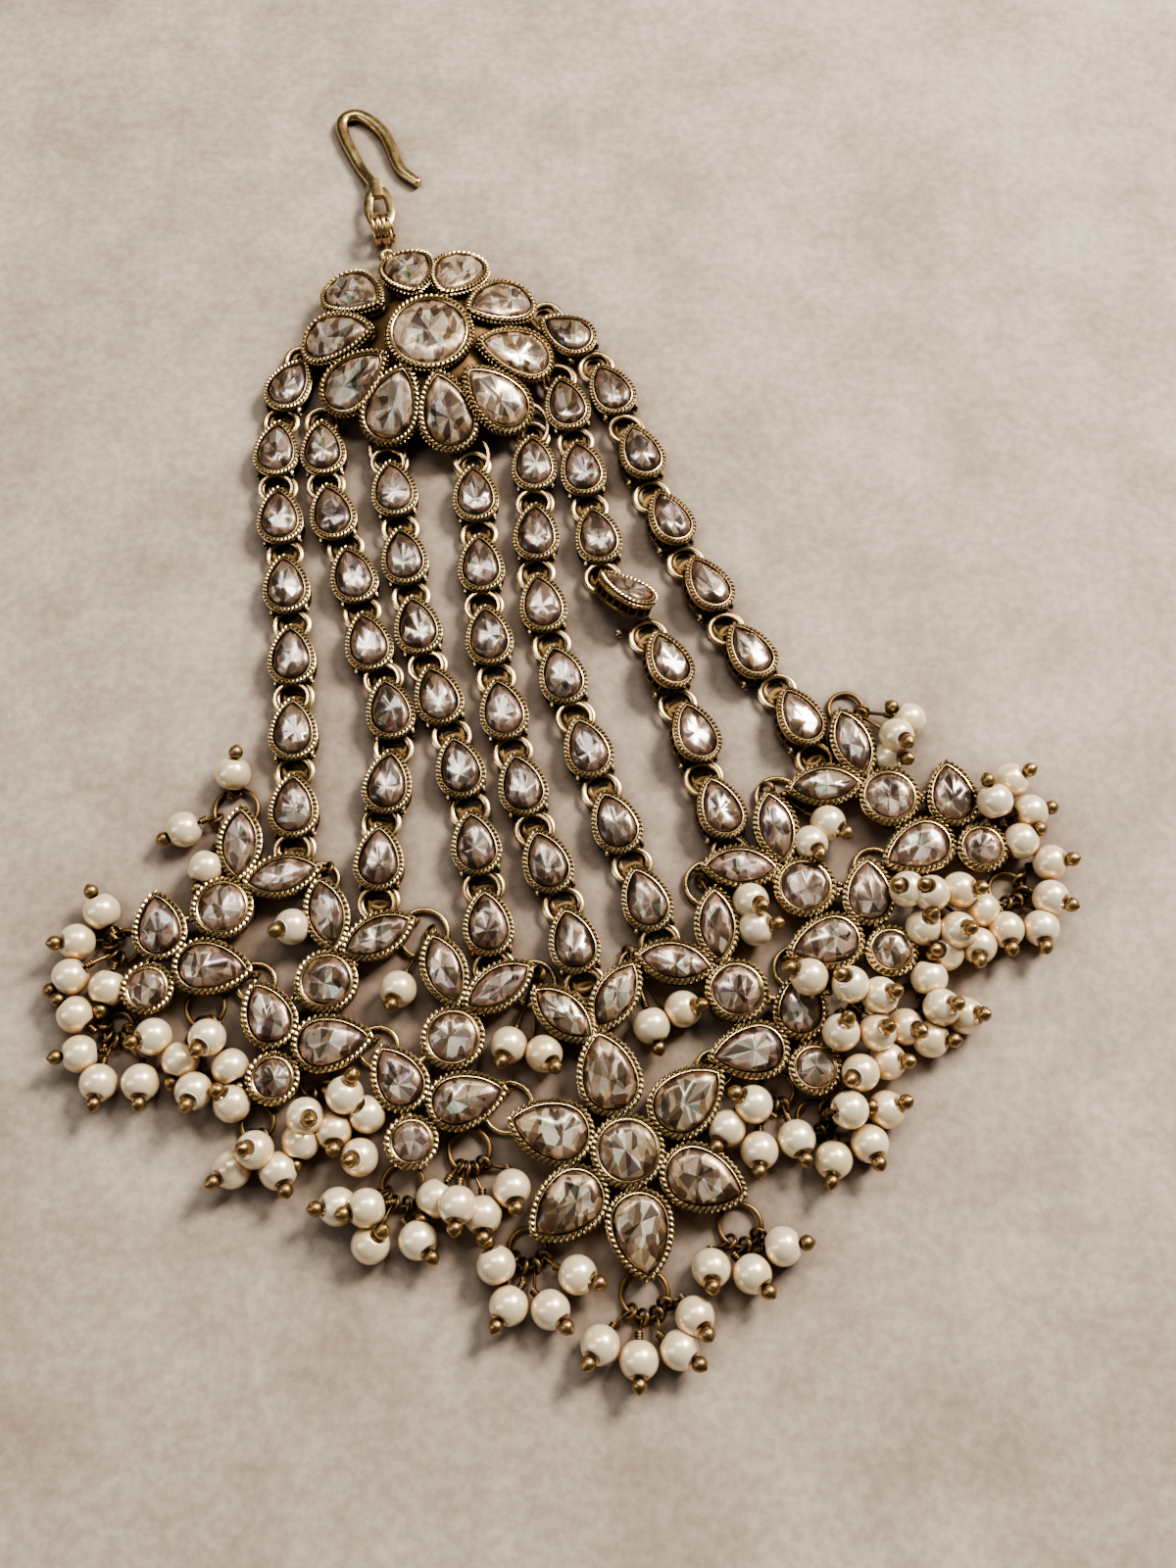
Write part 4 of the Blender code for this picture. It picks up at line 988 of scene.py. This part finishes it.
def build_crown():
    tilt = math.radians(CROWN_PETAL_TILT)
    reach = CROWN_PETAL_REACH - CROWN_PETAL_DEPTH * math.sin(tilt)
    cups = []
    for i, (east, north) in enumerate(CROWN_NUDGES):
        bearing = CROWN_FIRST_PETAL - 360.0 / CROWN_PETALS * i
        out = heading(bearing) * reach
        cups.append(dict(kind="pear", x=CROWN[0] + out.x + east, y=CROWN[1] + out.y + north,
                         z=CROWN_PETAL_TOP - CROWN_PETAL_DEPTH * math.cos(tilt), bearing=bearing + 180.0,
                         pitch=-CROWN_PETAL_TILT, length=CROWN_PETAL_LENGTH, width=CROWN_PETAL_WIDTH,
                         depth=CROWN_PETAL_DEPTH, ropes=2))
    cups.append(dict(kind="round", x=CROWN[0], y=CROWN[1] + 0.3, z=CROWN_TOP - CROWN_CUP_DEPTH, bearing=0.0,
                     length=CROWN_STONE, width=CROWN_STONE, depth=CROWN_CUP_DEPTH, ropes=2))
    bright, walls, stones = cups_and_stones("crown", cups, CROWN_GLOW)
    walls.add(turned(CROWN_HUB, 40), at(*CROWN))
    plate = Shape()
    plate.add(turned(CROWN_PLATE, 40), at(*CROWN))
    for cup in cups[:CROWN_PETALS]:
        skirt = [raised(outline("pear", cup["length"], cup["width"], WALL_STEPS, inset), z)
                 for inset, z in PETAL_SKIRT]
        plate.add(lofted(skirt, capped=True),
                  at(cup["x"], cup["y"], cup["z"], cup["bearing"], pitch=cup["pitch"]))
    bright.add(swept(smooth_line(CROWN_LUG, 6), LUG_WIRE, 8, flat=0.9))
    piece("crown_rims", bright, GILT, ("crown_setting",), smooth=45)
    piece("crown_walls", walls, DARK, smooth=45)
    piece("crown_plate", plate, PLATE, smooth=45)
    made = piece("crown_stones", stones, CROWN_GLASS, ("crown_centre_stone",))
    for i in range(CROWN_PETALS):
        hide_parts(f"crown_petal_stone_{i + 1:02d}")


def middle_of(low, high):
    """Middle of a solid's box, in the tables' millimetres."""
    return (low + high) / 2 / MM + Vector((*MIDDLE, 0.0))


def build_hook():
    forward = heading(EYE_BEARING)
    side = left_of(forward)
    start = Vector((*HOOK_ROUTE[0], EYE_HEIGHT))
    line = smooth_line([start] + [(x, y, HOOK_HEIGHT) for x, y in HOOK_ROUTE[1:]], 5)
    count = len(line)
    taper = [0.84 + 0.22 * math.sin(math.pi * min(1.0, i / count * 1.05)) for i in range(count)]
    taper[-1] = 0.7
    shape = Shape()
    shape.add(swept(line, HOOK_RADIUS, 12, flat=0.72, taper=taper))
    eye = start + forward * EYE_LENGTH / 2
    loop = []
    for i in range(EYE_STEPS):
        t = 2 * math.pi * i / EYE_STEPS
        broad = (EYE_WIDTH / 2 - 0.05) * (1.0 + 0.12 * math.cos(t))
        loop.append(eye + forward * (EYE_LENGTH / 2 - 0.2) * math.cos(t) + side * broad * math.sin(t))
    shape.add(swept(loop, EYE_WIRE, 8, closed=True, flat=0.6))
    shape.add(swept([start + forward * 1.5, start - forward * 0.9], 0.95, 10, flat=0.5))
    piece("hook_bar", shape, WIRE, ("hook",), smooth=50)
    for label in ("a", "b"):
        low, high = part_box(f"hook_link_{label}")
        radius = (high.z - low.z) / 2 / MM - 0.24
        shape = Shape()
        for shift, lean in HOOK_WIRES:
            centre = middle_of(low, high) + side * shift
            shape.add(ring(centre, radius, 0.22, forward + side * lean, (0, 0, 1), 26, 8))
        piece(f"hook_ring_{label}", shape, GILT, (f"hook_link_{label}",), smooth=60)


def build_joining_rings():
    for level in ("upper", "lower"):
        for i in range(6):
            low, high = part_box(f"{level}_ring_{i + 1}")
            radius = (high.x - low.x) / 2 / MM - 0.3
            shape = Shape()
            shape.add(ring(middle_of(low, high) + rise(0.1), radius, DROP_RING_WIRE, steps=36))
            piece(f"jump_ring_{level}_{i + 1}", shape, WIRE, (f"{level}_ring_{i + 1}",),
                  smooth=60)


def bead():
    """Pearl about Z, with the dished rims of its drill hole."""
    radius = PEARL / 2
    low = -radius + HOLE_DISH
    profile = [(0.34, low + 0.7), (0.5, low + 0.3), (HOLE_RIM - 0.26, low + 0.06),
               (HOLE_RIM - 0.12, low - 0.05)]
    first = math.acos(HOLE_RIM / radius)
    for i in range(15):
        turn = -first + 2 * first * i / 14
        profile.append((radius * math.cos(turn), radius * math.sin(turn)))
    profile.extend([(r, -z) for r, z in reversed(profile[:4])])
    return turned(profile, 26)


def ball_end():
    """Cast ball end of a head pin, about Z, with a slight nub."""
    profile = [(0.2, -0.76), (0.32, -0.66)]
    for i in range(8):
        turn = -math.pi / 2 + math.pi * (i + 1) / 9.4
        profile.append((BALL_RADIUS * math.cos(turn), BALL_RADIUS * math.sin(turn) + 0.02))
    profile.extend([(0.28, 0.76), (0.1, 0.88)])
    return turned(profile, 16)


BEAD = bead()
BALL = ball_end()


def lifted(place, lift):
    """Where a drop goes so that it keeps its place in the photograph when it is lifted off the surface."""
    share = lift / (CAMERA[2] - PEARL / 2)
    return place + (Vector(CAMERA[:2]) + Vector(MIDDLE) - place) * share


def aimed(place, direction):
    return Matrix.Translation(place) @ direction.to_track_quat("Z", "Y").to_matrix().to_4x4()


def lowest(place, z):
    """The place itself, or the one above it at height z where it lies lower."""
    return Vector((place.x, place.y, max(place.z, z)))


def pin(pins, centre, hold, out, stem, coiled):
    """Wire from a pearl to the eye that holds its ring, with a coil at the pearl where that shows."""
    neck = lowest(centre - stem * (PEARL / 2 - 0.05), 0.5)
    shank = centre - stem * (PEARL / 2 - 0.4)
    middle = lowest((neck - stem * 0.5).lerp(hold, 0.4), PIN_LOWEST)
    line = smooth_line([shank, neck, neck - stem * 0.45, middle, hold], 3)
    pins.add(swept([lowest(point, PIN_LOWEST) for point in line], PIN_RADIUS, 6))
    pins.add(ring(hold - out * 0.1, 0.72, 0.21, out, rise(0.7) + left_of(out) * 0.65, 16, 6))
    if coiled:
        right = stem.orthogonal().normalized()
        for k in range(COIL_TURNS):
            spot = lowest(neck - stem * (0.15 + COIL_PITCH * k), 0.5)
            pins.add(ring(spot, COIL_RADIUS, 0.15, right, stem.cross(right), 12, 5))


def drop(pearls, rims, pins, balls, spot, row):
    """Pearl on its head pin, with a ball end and the eye that holds its ring."""
    x, y, radius = spot
    bearing, reach, lift, ball_bearing, ball_reach = row
    out = heading(bearing)
    centre = lifted(Vector((x, y)) + out.to_2d() * reach, lift).to_3d() + rise(PEARL / 2 + lift)
    if ball_reach:
        tilt = math.acos(min(1.0, ball_reach / BALL_REACH))
        axis = heading(ball_bearing) * math.cos(tilt) + rise(math.sin(tilt))
    else:
        axis = (out + rise(-0.25 if lift > 0.4 else 0.0)).normalized()
    pearls.add(BEAD, aimed(centre, axis))
    if axis.z > 0.7:
        right = axis.orthogonal().normalized()
        face = centre + axis * math.sqrt(PEARL ** 2 / 4 - HOLE_RIM ** 2)
        rims.add(ring(face, HOLE_RIM - 0.08, 0.08, right, axis.cross(right), 20, 6))
    end = centre + axis * (PEARL / 2 + 0.4)
    end.z = min(max(end.z, 1.0), DROPS_TOP - 1.0)
    balls.add(BALL, aimed(end, axis))
    hold = Vector((x, y, 0.8 + min(lift, 1.5) * 0.3)) + out * max(radius, 0.4)
    pin(pins, centre, hold, out, axis if axis.dot(out) > -0.3 else out, axis.z < 0.8)


def build_drops():
    for name, spots in DROPS.items():
        pearls, rims, pins, balls = Shape(), Shape(), Shape(), Shape()
        for spot, rows in spots.items():
            x, y, radius = spot
            if radius:
                pins.add(ring((x, y, 0.5), radius, DROP_RING_WIRE, (1, 0, 0.06), (0, 1, -0.05), 30, 8))
            for row in rows:
                drop(pearls, rims, pins, balls, spot, row)
        replaced = (f"pearls_{name}",) if not name.startswith("upper") else ()
        piece(f"drops_{name}_pearls", pearls, PEARLS, replaced, smooth=50)
        if rims.count:
            piece(f"drops_{name}_hole_rims", rims, HOLE_RIMS, smooth=60)
        piece(f"drops_{name}_pins", pins, DARK, smooth=60)
        piece(f"drops_{name}_balls", balls, BALLS, smooth=50)


def build_stage():
    mesh = bpy.data.meshes.new("floor")
    shape = bmesh.new()
    bmesh.ops.create_grid(shape, x_segments=2, y_segments=2, size=1.2)
    shape.to_mesh(mesh)
    shape.free()
    floor = bpy.data.objects.new("floor", mesh)
    floor.location.z = cad_low.z - 0.00002
    bpy.context.scene.collection.objects.link(floor)
    mesh.materials.append(floor_material())


def area_light(name, place, size, power, colour):
    light = bpy.data.lights.new(name, "AREA")
    light.shape = "RECTANGLE"
    light.size, light.size_y = size
    light.energy = power
    light.color = colour
    made = bpy.data.objects.new(name, light)
    made.location = place
    made.rotation_euler = (-Vector(place)).to_track_quat("-Z", "Y").to_euler()
    bpy.context.scene.collection.objects.link(made)


def build_lights():
    area_light("key", (0.30, 0.26, 0.36), (0.16, 0.16), 8.8, (1.0, 0.95, 0.88))
    area_light("fill", (-0.42, -0.10, 0.34), (0.12, 0.40), 0.7, (0.94, 0.96, 1.0))
    area_light("top", (-0.04, 0.22, 0.45), (0.30, 0.08), 1.6, (1.0, 0.98, 0.95))
    world = bpy.data.worlds.new("studio")
    world.use_nodes = True
    world.node_tree.nodes["Background"].inputs["Color"].default_value = (0.80, 0.78, 0.76, 1.0)
    world.node_tree.nodes["Background"].inputs["Strength"].default_value = 0.055
    bpy.context.scene.world = world


def build_camera():
    data = bpy.data.cameras.new("camera")
    data.sensor_fit = "AUTO"
    data.sensor_width = 36.0
    data.lens = CAMERA_LENS
    data.clip_start = 0.005
    data.clip_end = 10.0
    camera = bpy.data.objects.new("camera", data)
    camera.location = Vector(CAMERA) * MM
    camera.rotation_euler = (math.radians(90.0 - CAMERA_ELEVATION), 0.0, 0.0)
    bpy.context.scene.collection.objects.link(camera)
    bpy.context.scene.camera = camera


build_camera()
build_lights()
build_stage()
build_hook()
build_crown()
build_strands()
build_motifs()
build_centre()
build_joining_rings()
build_drops()
